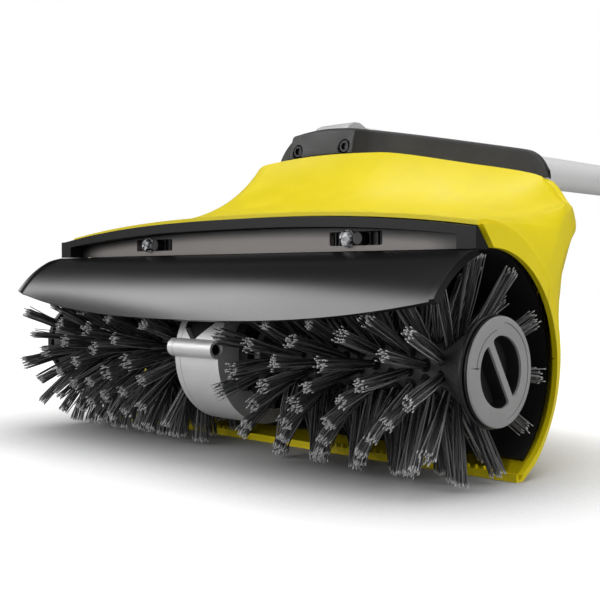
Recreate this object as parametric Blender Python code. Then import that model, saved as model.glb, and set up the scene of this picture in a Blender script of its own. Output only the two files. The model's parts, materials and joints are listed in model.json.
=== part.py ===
"""Patio cleaner: two driven brush rollers under a hooded housing, with a folding telescopic handle.

Everything is in metres, Z up. X runs along the rollers, Y runs from the splash guard to the handle.
Heights are measured from the floor, and Y from the rollers' axis. One parent empty then moves the
whole machine, so that the world's origin lies in the middle of the flat foot that it stands on.
"""
import math

import bmesh
import bpy
from mathutils import Matrix, Vector

# Mesh handling
SAME_POINT = 1e-7
NEAR_POINT = 2e-6
SMOOTH_ANGLE = math.radians(35.0)

# Clearances and walls
FIT_GAP = 0.0003
RUN_GAP = 0.0006
WALL = 0.0028
CHEEK_WALL = 0.0035
CUT = 0.0100

# Sides of round pieces
ROUND_SIDES = 16
SMALL_SIDES = 8

# Rollers and their drive, and the housing's half width
HALF_WIDTH = 0.1600
AXIS_HEIGHT = 0.0545
BRUSH_RADIUS = AXIS_HEIGHT - 0.0005
CORE_RADIUS = 0.0130
CORE_START = 0.0275
CORE_END = HALF_WIDTH + 0.0010
CORE_SIDES = 15
CORE_STEP = 0.0040
FLARE_LENGTH = 0.0220
FLARE_RADIUS = 0.0240
SHAFT_RADIUS = 0.0060
SHAFT_HALF_LENGTH = 0.0600
TUFT_ROWS = 9
TUFTS_PER_ROW = 9
STRAND_SIDES = 3
STRAND_RADIUS = 0.0013
STRAND_TIP_RADIUS = 0.0009
STRAND_ROOT_PITCH = 0.0036
STRAND_TIP_PITCH = 0.0084
STRAND_TIP_TURN = 0.0040
TUFT_START = 0.0350
TUFT_END = HALF_WIDTH - 0.0160
END_SPLAY = 0.0095
START_SPLAY = 0.0024
ROW_TWIST = math.radians(12.0)
DOG_RADIUS = 0.0240
DOG_LUG_RADIUS = 0.0290
DOG_LUGS = 6
DOG_LUG_WIDTH = 0.0080
DOG_THICKNESS = 0.0070

# End caps
CAP_SIDES = 22
CAP_RADIUS = 0.0255
CAP_FACE = HALF_WIDTH + 0.0070
CAP_FACE_DEPTH = 0.0028
CAP_FLANGE_RADIUS = 0.0262
CAP_FLANGE_DEPTH = 0.0022
CAP_PLUG_RADIUS = 0.0085
CAP_PLUG_LENGTH = 0.0140
GRIP_CIRCLE = 0.0165
CAP_CUP_RADIUS = GRIP_CIRCLE + 0.0015
CAP_CUP_DEPTH = 0.0031
GRIP_BAR = 0.0046
GRIP_DEPTH = 0.0075
GRIP_TILT = math.radians(34.0)

# Housing
OPENING_RADIUS = BRUSH_RADIUS + 0.0020
OPENING_TOP = AXIS_HEIGHT + OPENING_RADIUS
RIM_Y = -0.0090
RIM_Z_MID = OPENING_TOP + 0.0210
RIM_Z_END = OPENING_TOP + 0.0121
RIM_HEIGHT = 0.0021
RIM_ARCH = 2.5
RIM_INSIDE = 0.6
OPENING_FRONT = 0.0000
FOOT_FRONT = 0.0240
SPLIT_Z = AXIS_HEIGHT + 0.0025
SEAM_Y = 0.1205
SIDE_ARC_Y = -0.0040
SIDE_ARC_Z = AXIS_HEIGHT + 0.0030
SIDE_ARC_RADIUS_Y = OPENING_RADIUS + 0.0120
SIDE_ARC_RADIUS_Z = OPENING_RADIUS + 0.0100
NOSE_Y = 0.0580
NOSE_Z = OPENING_TOP + 0.0595
DECK_DROP = 0.0060
DECK_SLOPE = 0.15
REAR_Y = 0.1500
FOOT_MID_Y = 0.0300

# Brush chamber
CHAMBER_GAP = 0.0006
CHAMBER_WALL = 0.0020
CHAMBER_FOOT_ANGLE = math.radians(-52.0)

# Front frame and nozzle bar
FRAME_FRONT = -0.0160
FRAME_BACK = -0.0020
FRAME_HALF = HALF_WIDTH + 0.0040
FRAME_END_BACK = -0.0059
FRAME_BOTTOM = OPENING_TOP - 0.0007
WINDOW_TOP_MID = OPENING_TOP + 0.0130
WINDOW_TOP_END = OPENING_TOP + 0.0052
WINDOW_HALF = HALF_WIDTH - 0.0065
BAR_FRONT = -0.0065
BAR_BACK = -0.0030
NOZZLE_X = HALF_WIDTH - 0.0788
NOZZLE_Z = OPENING_TOP + 0.0059
NOZZLE_RADIUS = 0.0038
NOZZLE_NECK = 0.0028
NOZZLE_TAIL = 0.0019
NOZZLE_SLOT_LEFT = 0.0130
NOZZLE_SLOT_RIGHT = 0.0218
NOZZLE_SLOT_HEIGHT = 0.0070
NOZZLE_FRONT = -0.0105
MANIFOLD_RADIUS = 0.0032
MANIFOLD_Y = 0.0015
MANIFOLD_Z = OPENING_TOP + 0.0066
MANIFOLD_HALF = NOZZLE_X + 0.0070

# Splash guard
GUARD_HALF = HALF_WIDTH + 0.0050
GUARD_WALL = 0.0020
GUARD_TOP_RADIUS = OPENING_RADIUS + 0.0011
GUARD_TOP_ANGLE = math.pi - math.asin((FRAME_BOTTOM - FIT_GAP - AXIS_HEIGHT) / GUARD_TOP_RADIUS)
GUARD_LIP_Y_MID = -0.0550
GUARD_LIP_Y_END = -0.0470
GUARD_LIP_Z_MID = AXIS_HEIGHT + 0.0205
GUARD_LIP_Z_END = AXIS_HEIGHT + 0.0330

# Gearbox arm, belt drive and motor
ARM_HALF = 0.0177
ARM_RADIUS = 0.0380
ARM_TOP_RADIUS = 0.0290
ARM_WALL = 0.0035
ARM_COVER = 0.0040
MOTOR_Y = 0.0780
MOTOR_Z = OPENING_TOP + 0.0015
MOTOR_RADIUS = 0.0240
MOTOR_WALL = 0.0022
MOTOR_END = HALF_WIDTH - 0.0720
MOTOR_SHAFT_RADIUS = 0.0040
MOTOR_PULLEY_RADIUS = 0.0100
DRIVEN_PULLEY_RADIUS = ARM_RADIUS - 0.0080
PULLEY_HALF = 0.0060
BELT_THICKNESS = 0.0018
BEARING_RADIUS = 0.0130
BEARING_WIDTH = 0.0080
BOSS_RADIUS = 0.0050
SINK_DEPTH = 0.0027
BOSS_Y = -0.0385
BOSS_Z = AXIS_HEIGHT + 0.0045

# Top cover
COVER_FRONT = 0.0580
COVER_TOP = NOSE_Z + 0.0165
COVER_CROWN_ROUND = 0.0300
COVER_CROWN_SLOPE = 0.2000
COVER_NOSE_HALF = 0.0330
COVER_RIDGE_STEP = 0.0030
COVER_RIDGE_WIDTH = 0.0040
COVER_SWEEP = 0.8500
COVER_END_START = HALF_WIDTH - 0.0620
COVER_WING_X = HALF_WIDTH - 0.0470
COVER_END_DROP = 0.0106
COVER_LEAN = 0.0030
COVER_EDGE = 0.0030
COVER_STEP = 0.0006
COVER_LIFT = 0.0009
CHANNEL_HALF = 0.0142
CHANNEL_FRONT = 0.0645
CHANNEL_FLOOR = 0.0006
COVER_SCREW_X = 0.0190
COVER_SCREW_Z = NOSE_Z + 0.0056
SCREW_HEAD_RADIUS = 0.0038
SCREW_SHANK_RADIUS = 0.0018

# Handle
HINGE_Y = 0.0780
HINGE_Z = NOSE_Z + 0.0085
HINGE_PIN_RADIUS = 0.0032
HINGE_PIN_HALF = 0.0240
TUBE_RADIUS = 0.0125
TUBE_WALL = 0.0012
UPPER_TUBE_RADIUS = 0.0108
UPPER_TUBE_WALL = 0.0011
TUBE_START = 0.1000
TUBE_END = 0.5200
UPPER_TUBE_START = 0.1700
UPPER_TUBE_END = 0.6800
COLLAR_START = 0.4960
COLLAR_END = 0.5340
COLLAR_RADIUS = 0.0165
GRIP_START = 0.5650
GRIP_END = 0.7150
GRIP_RADIUS = 0.0170
GRIP_HEIGHT = 0.0200
SPIGOT_END = 0.1500
LEVER_HALF_HEIGHT = 0.0065
LEVER_PIVOT_X = 0.0193
LEVER_PIVOT_Y = 0.5010
LEVER_HEEL = 0.0022
LEVER_PIN_RADIUS = 0.0012
TRIGGER_HALF = 0.0055
TRIGGER_FRONT = 0.5900
TRIGGER_BACK = 0.6350
TRIGGER_PIVOT_Y = 0.5940
TRIGGER_PIVOT_Z = HINGE_Z - 0.0150
TRIGGER_HEEL = 0.0030
TRIGGER_PIN_RADIUS = 0.0013
TRIGGER_PIN_HALF = 0.0085
BUTTON_Y = 0.5860
BUTTON_RADIUS = 0.0040
BUTTON_LOW = 0.0126
BUTTON_HIGH = 0.0212
GRIP_SCREWS = (0.5740, 0.6600)
GRIP_SCREW_Z = HINGE_Z - 0.0146
GRIP_SCREW_SEAT = 0.0040
GRIP_SCREW_REACH = 0.0060
GLAND_RADIUS = 0.0062
GLAND_DEPTH = 0.0120

# Fasteners of the top cover
SCREW_SEAT_Y = 0.0620
COVER_SCREW_LENGTH = 0.0120

# Water inlet and electrics
PAD_FACE_Y = 0.1535
PAD_ROOT_Y = 0.1455
PAD_MARGIN = 0.0150
PAD_LAP = 0.0015
PAD_HALF_HEIGHT = 0.0140
VALVE_Z = NOSE_Z - 0.0370
VALVE_FRONT = 0.1260
VALVE_BACK = 0.1397
VALVE_HALF_HEIGHT = 0.0090
INLET_X = HALF_WIDTH - 0.1020
INLET_RADIUS = 0.0080
INLET_COLLAR = 0.0030
SPIGOT_BORE = 0.0042
SPIGOT_RADIUS = 0.0066
SPIGOT_RIBS = 2
SPIGOT_RIB_PITCH = 0.0060
SPIGOT_RIB_HEIGHT = 0.0010
FEED_X = HALF_WIDTH - 0.0900
KNOB_X = HALF_WIDTH - 0.0800
KNOB_STEM = 0.0030
KNOB_RADIUS = 0.0090
BOARD_CENTRE_X = HALF_WIDTH - 0.0650
BOARD_HALF_X = 0.0180
BOARD_DEPTH = 0.0400
BOARD_Z = OPENING_TOP - 0.0105
BOARD_POST_ANGLE = math.radians(36.0)
FAN_BLADES = 7
FAN_RADIUS = 0.0200


# Making and joining meshes

def remove_everything():
    for obj in list(bpy.data.objects):
        bpy.data.objects.remove(obj, do_unlink=True)


def material(name, colour, roughness, metallic=0.0):
    made = bpy.data.materials.new(name)
    made.use_nodes = True
    shader = made.node_tree.nodes["Principled BSDF"]
    shader.inputs["Base Color"].default_value = (*colour, 1.0)
    shader.inputs["Roughness"].default_value = roughness
    shader.inputs["Metallic"].default_value = metallic
    made.diffuse_color = (*colour, 1.0)
    return made


def face_outwards(bm):
    if bm.calc_volume(signed=True) < 0.0:
        bmesh.ops.reverse_faces(bm, faces=bm.faces)


def make_object(name, verts, faces, mat):
    mesh = bpy.data.meshes.new(name)
    mesh.from_pydata([tuple(v) for v in verts], [], faces)
    mesh.validate()
    bm = bmesh.new()
    bm.from_mesh(mesh)
    bmesh.ops.remove_doubles(bm, verts=bm.verts, dist=SAME_POINT)
    bmesh.ops.recalc_face_normals(bm, faces=bm.faces)
    face_outwards(bm)
    bm.to_mesh(mesh)
    bm.free()
    mesh.materials.append(mat)
    mesh.shade_smooth()
    mesh.set_sharp_from_angle(angle=SMOOTH_ANGLE)
    obj = bpy.data.objects.new(name, mesh)
    bpy.context.scene.collection.objects.link(obj)
    return obj


def combine(target, others, operation):
    """Joins or cuts with an exact Boolean for each other object, and removes those objects."""
    for other in others:
        step = target.modifiers.new("combine", "BOOLEAN")
        step.operation = operation
        step.solver = "EXACT"
        step.object = other
        bpy.context.view_layer.update()
        graph = bpy.context.evaluated_depsgraph_get()
        mesh = bpy.data.meshes.new_from_object(target.evaluated_get(graph))
        target.modifiers.clear()
        old = target.data
        target.data = mesh
        bpy.data.meshes.remove(old)
        mesh.name = target.name
        bpy.data.objects.remove(other, do_unlink=True)
    bm = bmesh.new()
    bm.from_mesh(target.data)
    bmesh.ops.remove_doubles(bm, verts=bm.verts, dist=NEAR_POINT)
    bmesh.ops.dissolve_degenerate(bm, edges=bm.edges, dist=NEAR_POINT)
    face_outwards(bm)
    bm.to_mesh(target.data)
    bm.free()
    target.data.set_sharp_from_angle(angle=SMOOTH_ANGLE)
    return target


def cut(target, *cutters):
    return combine(target, cutters, "DIFFERENCE")


def join(target, *others):
    return combine(target, others, "UNION")


def keep_inside(target, box_object):
    return combine(target, [box_object], "INTERSECT")


def loft(name, rings, mat):
    """A closed solid through rings that hold the same number of points."""
    count = len(rings[0])
    verts = [p for ring in rings for p in ring]
    faces = []
    for i in range(len(rings) - 1):
        for j in range(count):
            a = i * count + j
            b = i * count + (j + 1) % count
            faces.append((a, b, b + count, a + count))
    faces.append(tuple(range(count)))
    faces.append(tuple(range((len(rings) - 1) * count, len(rings) * count)))
    return make_object(name, verts, faces, mat)


def along(axis, centre, a, u, v):
    """The point a along an axis through centre, with u and v across it."""
    x, y, z = centre
    if axis == "X":
        return (x + a, y + u, z + v)
    if axis == "Y":
        return (x + u, y + a, z + v)
    return (x + u, y + v, z + a)


def turned(name, profile, centre, mat, axis="X", sides=ROUND_SIDES):
    """Turns a closed profile of (distance along the axis, radius) about an axis through centre."""
    rings = []
    for k in range(sides):
        angle = 2.0 * math.pi * (k + 0.5) / sides
        c, s = math.cos(angle), math.sin(angle)
        rings.append([along(axis, centre, a, r * c, r * s) for a, r in profile])
    count = len(profile)
    verts = [p for ring in rings for p in ring]
    faces = []
    for k in range(sides):
        n = (k + 1) % sides
        for j in range(count):
            m = (j + 1) % count
            if profile[j][1] < 1e-9 and profile[m][1] < 1e-9:
                continue
            quad = (k * count + j, k * count + m, n * count + m, n * count + j)
            if profile[j][1] < 1e-9:
                quad = (quad[0], quad[1], quad[2])
            elif profile[m][1] < 1e-9:
                quad = (quad[0], quad[1], quad[3])
            faces.append(quad)
    return make_object(name, verts, faces, mat)


def rod(name, centre, start, end, radius, mat, axis="X", sides=ROUND_SIDES):
    return turned(name, [(start, 0.0), (end, 0.0), (end, radius), (start, radius)], centre, mat, axis, sides)


def tube(name, centre, start, end, radius, bore, mat, axis="X", sides=ROUND_SIDES):
    profile = [(start, bore), (end, bore), (end, radius), (start, radius)]
    return turned(name, profile, centre, mat, axis, sides)


def block(name, low, high, mat):
    corners = [(x, y, z) for x in (low[0], high[0]) for y in (low[1], high[1]) for z in (low[2], high[2])]
    faces = [(0, 1, 3, 2), (4, 6, 7, 5), (0, 4, 5, 1), (2, 3, 7, 6), (0, 2, 6, 4), (1, 5, 7, 3)]
    return make_object(name, corners, faces, mat)


def prism(name, outline, low, high, mat, axis="X"):
    """Extrudes an outline, given across the axis, from low to high along it."""
    rings = [[along(axis, (0, 0, 0), a, u, v) for u, v in outline] for a in (low, high)]
    return loft(name, rings, mat)


def arc(centre, radius, start, end, steps):
    points = []
    for k in range(steps + 1):
        angle = start + (end - start) * k / steps
        points.append((centre[0] + radius * math.cos(angle), centre[1] + radius * math.sin(angle)))
    return points


def belt_outline(first, first_radius, second, second_radius, steps=7):
    """The outline of a belt round two circles, which also gives an arm's rounded shape."""
    dy, dz = second[0] - first[0], second[1] - first[1]
    distance = math.hypot(dy, dz)
    heading = math.atan2(dz, dy)
    lean = math.acos((first_radius - second_radius) / distance)
    return (arc(first, first_radius, heading + lean, heading + 2.0 * math.pi - lean, steps * 2)
            + arc(second, second_radius, heading - lean, heading + lean, steps))


def bezier(p0, p1, p2, p3, steps):
    points = []
    for k in range(steps + 1):
        t = k / steps
        s = 1.0 - t
        points.append(tuple(s ** 3 * a + 3 * s * s * t * b + 3 * s * t * t * c + t ** 3 * d
                            for a, b, c, d in zip(p0, p1, p2, p3)))
    return points


def smooth_through(points, steps):
    """Points on a smooth curve through the given points, without the first one."""
    ends = [points[0]] + list(points) + [points[-1]]
    result = []
    for i in range(1, len(ends) - 2):
        p0, p1, p2, p3 = ends[i - 1:i + 3]
        for k in range(1, steps + 1):
            t = k / steps
            result.append(tuple(
                0.5 * (2 * b + (c - a) * t + (2 * a - 5 * b + 4 * c - d) * t * t + (3 * b - a - 3 * c + d) * t ** 3)
                for a, b, c, d in zip(p0, p1, p2, p3)))
    return result


def blend_between(table, x):
    """Reads a table of (x, values) at x with a curve that never overshoots."""
    places = [row[0] for row in table]
    x = min(max(x, places[0]), places[-1])
    i = max(k for k in range(len(places) - 1) if places[k] <= x)
    width = places[i + 1] - places[i]
    t = (x - places[i]) / width

    def slope(k, c):
        if k == 0 or k == len(places) - 1:
            return 0.0
        before = (table[k][1][c] - table[k - 1][1][c]) / (places[k] - places[k - 1])
        after = (table[k + 1][1][c] - table[k][1][c]) / (places[k + 1] - places[k])
        if before * after <= 0.0:
            return 0.0
        return 2.0 * before * after / (before + after)

    values = []
    for c in range(len(table[0][1])):
        a, b = table[i][1][c], table[i + 1][1][c]
        m0 = slope(i, c)
        m1 = slope(i + 1, c)
        if i == len(places) - 2:
            m1 = (b - a) / width
        h00 = 2 * t ** 3 - 3 * t * t + 1
        h10 = t ** 3 - 2 * t * t + t
        h01 = -2 * t ** 3 + 3 * t * t
        h11 = t ** 3 - t * t
        values.append(h00 * a + h10 * width * m0 + h01 * b + h11 * width * m1)
    return values


# Housing: one skin, worked out once and then parted into three shells

def rim_height(x):
    """The front rim is arched: highest in the middle and lowest at the sides."""
    return RIM_Z_MID - (RIM_Z_MID - RIM_Z_END) * abs(x / HALF_WIDTH) ** RIM_ARCH


def window_top(x):
    return WINDOW_TOP_MID - (WINDOW_TOP_MID - WINDOW_TOP_END) * abs(x / HALF_WIDTH) ** RIM_ARCH


# For each half width: the hump's front edge, its rear top corner, its rear wall at two heights and the
# rear of the foot. The hump is full behind the nose, sweeps back at its wings and is drawn in to the
# round side plate.
HUMP_FLAT = HALF_WIDTH - 0.1150
HUMP_SHOULDER = HALF_WIDTH - 0.0740
HUMP_WING = HALF_WIDTH - 0.0450
HUMP_CORNER = HALF_WIDTH - 0.0300
HUMP_NECK = HALF_WIDTH - 0.0200
HUMP_END = HALF_WIDTH - 0.0100
HUMP_TABLE = [
    (0.0, (NOSE_Y, NOSE_Z, REAR_Y, NOSE_Z - 0.0085, REAR_Y, NOSE_Z - 0.040, REAR_Y - 0.032, 0.070)),
    (HUMP_FLAT, (NOSE_Y + 0.002, NOSE_Z - 0.0015, REAR_Y, NOSE_Z - 0.0085, REAR_Y, NOSE_Z - 0.040, REAR_Y - 0.032,
                 0.070)),
    (HUMP_SHOULDER, (NOSE_Y + 0.029, NOSE_Z - 0.0085, REAR_Y - 0.002, NOSE_Z - 0.0105, REAR_Y - 0.002,
                     NOSE_Z - 0.044, REAR_Y - 0.034, 0.070)),
    (HUMP_WING, (NOSE_Y + 0.061, NOSE_Z - 0.0155, REAR_Y - 0.010, NOSE_Z - 0.019, REAR_Y - 0.014, NOSE_Z - 0.052,
                 REAR_Y - 0.045, 0.066)),
    (HUMP_CORNER, (NOSE_Y + 0.061, NOSE_Z - 0.031, REAR_Y - 0.019, NOSE_Z - 0.034, REAR_Y - 0.026, NOSE_Z - 0.056,
                   REAR_Y - 0.055, 0.055)),
    (HUMP_NECK, (NOSE_Y + 0.044, NOSE_Z - 0.034, REAR_Y - 0.038, NOSE_Z - 0.039, REAR_Y - 0.048, NOSE_Z - 0.062,
                 REAR_Y - 0.066, 0.045)),
    (HUMP_END, (NOSE_Y + 0.020, NOSE_Z - 0.048, REAR_Y - 0.065, NOSE_Z - 0.054, REAR_Y - 0.067, NOSE_Z - 0.067,
                REAR_Y - 0.076, 0.038)),
]
FLARE_STEPS = 4
REAR_STEPS = 2


def flare_points(edge_y, edge_z, rim_z, lean):
    """The hump's concave front, from the rim up to its edge."""
    run = edge_y - RIM_Y
    rise = edge_z - rim_z
    return bezier((RIM_Y, rim_z), (RIM_Y + 0.48 * run, rim_z + 0.02 * rise),
                  (edge_y - 0.18 * run, edge_z - lean * rise), (edge_y, edge_z), FLARE_STEPS)


def hump_profile(x):
    """One section of the skin's outside, from the rim's lower edge round the back to the foot's front."""
    top_y, top_z, rear_y, rear_z, wall_y, wall_z, low_y, toe_y = blend_between(HUMP_TABLE, x)
    rim_z = rim_height(x)
    points = [(RIM_Y, rim_z - RIM_HEIGHT)] + flare_points(top_y, top_z, rim_z, 0.46)
    room = rear_y - top_y
    drop = min(DECK_DROP, DECK_SLOPE * room)
    deck_start = (top_y + min(0.006, 0.35 * room), top_z - drop)
    points += [deck_start]
    behind = [deck_start, (rear_y - min(0.012, 0.35 * room), rear_z + 0.001), (rear_y, rear_z - min(0.010, room)),
              (wall_y, wall_z), (low_y, SPLIT_Z), (toe_y + 0.66 * (low_y - toe_y), 0.44 * SPLIT_Z), (toe_y, 0.006)]
    points += smooth_through(behind, REAR_STEPS)
    points += [(toe_y - 0.006, 0.0), (FOOT_FRONT, 0.0)]
    return points


def side_profile():
    """The round edge of the flat side plate, with a point for each point of the section beside it."""
    beside = hump_profile(HUMP_END)
    points = [(RIM_Y, RIM_Z_END - RIM_HEIGHT), (RIM_Y, RIM_Z_END)]
    foot_angle = math.asin((0.0 - SIDE_ARC_Z) / SIDE_ARC_RADIUS_Z)
    rim_angle = math.acos((RIM_Y - SIDE_ARC_Y) / SIDE_ARC_RADIUS_Y)
    count = len(beside)
    angles = [math.atan2((z - SIDE_ARC_Z) / SIDE_ARC_RADIUS_Z, (y - SIDE_ARC_Y) / SIDE_ARC_RADIUS_Y)
              for y, z in beside]
    first, last = angles[1], angles[count - 2]
    for k in range(2, count - 1):
        share = (angles[k] - first) / (last - first)
        angle = rim_angle + share * (foot_angle - rim_angle)
        points.append((SIDE_ARC_Y + SIDE_ARC_RADIUS_Y * math.cos(angle),
                       SIDE_ARC_Z + SIDE_ARC_RADIUS_Z * math.sin(angle)))
    points.append((FOOT_FRONT, 0.0))
    return points


def stations():
    def between(a, b):
        return 0.5 * (a + b)

    half = [0.0, HUMP_FLAT, between(HUMP_FLAT, HUMP_SHOULDER), HUMP_SHOULDER, between(HUMP_SHOULDER, HUMP_WING),
            HUMP_WING, between(HUMP_WING, HUMP_CORNER), HUMP_CORNER, between(HUMP_CORNER, HUMP_NECK), HUMP_NECK,
            between(HUMP_NECK, HUMP_END), HUMP_END, HALF_WIDTH]
    return [-x for x in reversed(half[1:])] + half


def outer_section(x):
    if abs(x) <= HUMP_END:
        return hump_profile(abs(x))
    side = side_profile()
    share = (abs(x) - HUMP_END) / (HALF_WIDTH - HUMP_END)
    beside = hump_profile(HUMP_END)
    return [tuple(a + (b - a) * share for a, b in zip(p, q)) for p, q in zip(beside, side)]


def faceted_section(x):
    """The skin's section at x as its facets have it between two stations."""
    xs = stations()
    i = max(k for k in range(len(xs) - 1) if xs[k] <= x)
    share = (x - xs[i]) / (xs[i + 1] - xs[i])
    return [tuple(a + (b - a) * share for a, b in zip(p, q))
            for p, q in zip(outer_section(xs[i]), outer_section(xs[i + 1]))]


def opening_arc(steps=16):
    """The round side opening, from the foot's front up over the rollers to the front frame's end."""
    foot = -math.acos(FOOT_FRONT / OPENING_RADIUS)
    front = math.acos(OPENING_FRONT / OPENING_RADIUS)
    return arc((0.0, AXIS_HEIGHT), OPENING_RADIUS, foot, front, steps)


def housing_skin(mat):
    xs = stations()
    outer = [[Vector((x, y, z)) for y, z in outer_section(x)] for x in xs]
    rows, cols = len(outer), len(outer[0])

    def neighbour(i, j, di, dj):
        """The first point that way which lies far enough off to offset a tight corner smoothly."""
        p = outer[i][j]
        while 0 <= i + di < rows and 0 <= j + dj < cols and (outer[i][j] - p).length < 2.2 * WALL:
            if dj < 0 and j + dj == 0:
                break
            i, j = i + di, j + dj
        return outer[i][j]

    def direction(i, j):
        across = neighbour(i, j, 1, 0) - neighbour(i, j, -1, 0)
        around = neighbour(i, j, 0, 1) - neighbour(i, j, 0, -1)
        normal = across.cross(around)
        normal.normalize()
        return normal

    inner = []
    cheek = HALF_WIDTH - CHEEK_WALL
    for i, x in enumerate(xs):
        ring = []
        for j in range(cols):
            p = outer[i][j]
            if i in (0, rows - 1):
                centre = Vector((0.0, SIDE_ARC_Y - p.y, SIDE_ARC_Z - p.z)).normalized()
                q = p + centre * WALL
                q.x = math.copysign(cheek, x)
            else:
                q = p - direction(i, j) * WALL
                q.x = max(-cheek + 0.0002, min(cheek - 0.0002, q.x))
            q.y = max(q.y, RIM_Y + WALL)
            q.z = max(q.z, WALL)
            if j == 0:
                q = Vector((q.x, RIM_Y + WALL, p.z))
            if j == 1:
                q = Vector((q.x, RIM_Y + WALL, p.z - RIM_INSIDE * RIM_HEIGHT))
            if j == cols - 1:
                q = Vector((q.x, FOOT_FRONT, WALL))
            ring.append(q)
        inner.append(ring)
    opening = opening_arc()
    verts = [p for ring in outer for p in ring] + [p for ring in inner for p in ring]
    base_in = rows * cols
    faces = []
    for i in range(rows - 1):
        for j in range(cols - 1):
            a = i * cols + j
            faces.append((a, a + 1, a + cols + 1, a + cols))
            faces.append(tuple(base_in + k for k in (a, a + cols, a + cols + 1, a + 1)))
        a = i * cols
        faces.append((a, a + cols, base_in + a + cols, base_in + a))
        a = i * cols + cols - 1
        faces.append((a, base_in + a, base_in + a + cols, a + cols))
    for end in (0, rows - 1):
        x_out = xs[end]
        x_in = math.copysign(cheek, x_out)
        first = len(verts)
        verts += [Vector((x_out, y, z)) for y, z in opening]
        verts += [Vector((x_in, y, z)) for y, z in opening]
        n = len(opening)
        faces.append(tuple(end * cols + j for j in range(cols)) + tuple(first + k for k in range(n)))
        faces.append(tuple(base_in + end * cols + j for j in range(cols)) + tuple(first + n + k for k in range(n)))
        for k in range(n - 1):
            faces.append((first + k, first + k + 1, first + n + k + 1, first + n + k))
        a, b = end * cols, end * cols + cols - 1
        faces.append((b, base_in + b, first + n, first))
        faces.append((a, base_in + a, first + 2 * n - 1, first + n - 1))
    return make_object("housing_skin", verts, faces, mat)


def copy_of(obj, name):
    twin = obj.copy()
    twin.data = obj.data.copy()
    twin.name = name
    twin.data.name = name
    bpy.context.scene.collection.objects.link(twin)
    return twin


def housing_shells(mat):
    """Parts the skin, and gives the rear cover a flat pad and its holes for the water fittings."""
    skin = housing_skin(mat)
    far = 1.0
    half = FIT_GAP / 2
    keep_inside(copy_of(skin, "lower_housing"), block("keep", (-far, -far, -far), (far, far, SPLIT_Z - half), mat))
    rear = keep_inside(copy_of(skin, "rear_cover"),
                       block("keep", (-far, SEAM_Y + half, SPLIT_Z + half), (far, far, far), mat))
    keep_inside(copy_of(skin, "upper_housing"),
                block("keep", (-far, -far, SPLIT_Z + half), (far, SEAM_Y - half, far), mat))
    bpy.data.objects.remove(skin, do_unlink=True)
    low = (-KNOB_X - PAD_MARGIN, PAD_ROOT_Y, VALVE_Z - PAD_HALF_HEIGHT)
    high = (-INLET_X + PAD_MARGIN, PAD_FACE_Y, VALVE_Z + PAD_HALF_HEIGHT)
    pad = block("pad", low, high, mat)
    cut(pad, rod("inlet_hole", (-INLET_X, 0.0, VALVE_Z), VALVE_BACK, PAD_FACE_Y + CUT, INLET_RADIUS + FIT_GAP,
                 mat, "Y"),
        rod("knob_hole", (-KNOB_X, 0.0, VALVE_Z), VALVE_BACK, PAD_FACE_Y + CUT, KNOB_STEM + FIT_GAP, mat, "Y"))
    cut(rear, block("window", (low[0] + PAD_LAP, VALVE_BACK, low[2] + PAD_LAP),
                    (high[0] - PAD_LAP, PAD_FACE_Y + CUT, high[2] - PAD_LAP), mat))
    join(rear, pad)


# Brush chamber, front frame, spray bar and splash guard

def brush_chamber(mat):
    """The black liner behind the rollers, with a slot for the arm and two posts for the board."""
    inner = OPENING_RADIUS + CHAMBER_GAP
    outer = inner + CHAMBER_WALL
    front = math.acos((FRAME_BACK + FIT_GAP) / outer)
    axis = (0.0, AXIS_HEIGHT)
    outline = arc(axis, outer, CHAMBER_FOOT_ANGLE, front, 18) + arc(axis, inner, front, CHAMBER_FOOT_ANGLE, 18)
    half = HALF_WIDTH - CHEEK_WALL - FIT_GAP
    liner = prism("brush_chamber", outline, -half, half, mat)
    posts = []
    for x in (-BOARD_CENTRE_X - BOARD_HALF_X + 0.004, -BOARD_CENTRE_X + BOARD_HALF_X - 0.004):
        y = outer * math.cos(BOARD_POST_ANGLE)
        z = AXIS_HEIGHT + outer * math.sin(BOARD_POST_ANGLE)
        posts.append(block("post", (x - 0.002, y - 0.002, z - 0.0005), (x + 0.002, y + 0.020, BOARD_Z - FIT_GAP), mat))
    join(liner, *posts)
    gap = ARM_HALF + FIT_GAP
    slot = prism("slot", belt_outline(axis, ARM_RADIUS + RUN_GAP, (MOTOR_Y, MOTOR_Z), ARM_TOP_RADIUS + RUN_GAP),
                 -gap, gap, mat)
    return cut(liner, slot)


def arched_bar(name, half, front, back, bottom, top_of, mat, steps=10):
    """A bar across the machine with a straight lower edge and an arched upper one."""
    rings = []
    for k in range(steps + 1):
        x = -half + 2.0 * half * k / steps
        top = top_of(x)
        rings.append([(x, front, bottom), (x, back, bottom), (x, back, top), (x, front, top)])
    return loft(name, rings, mat)


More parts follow.
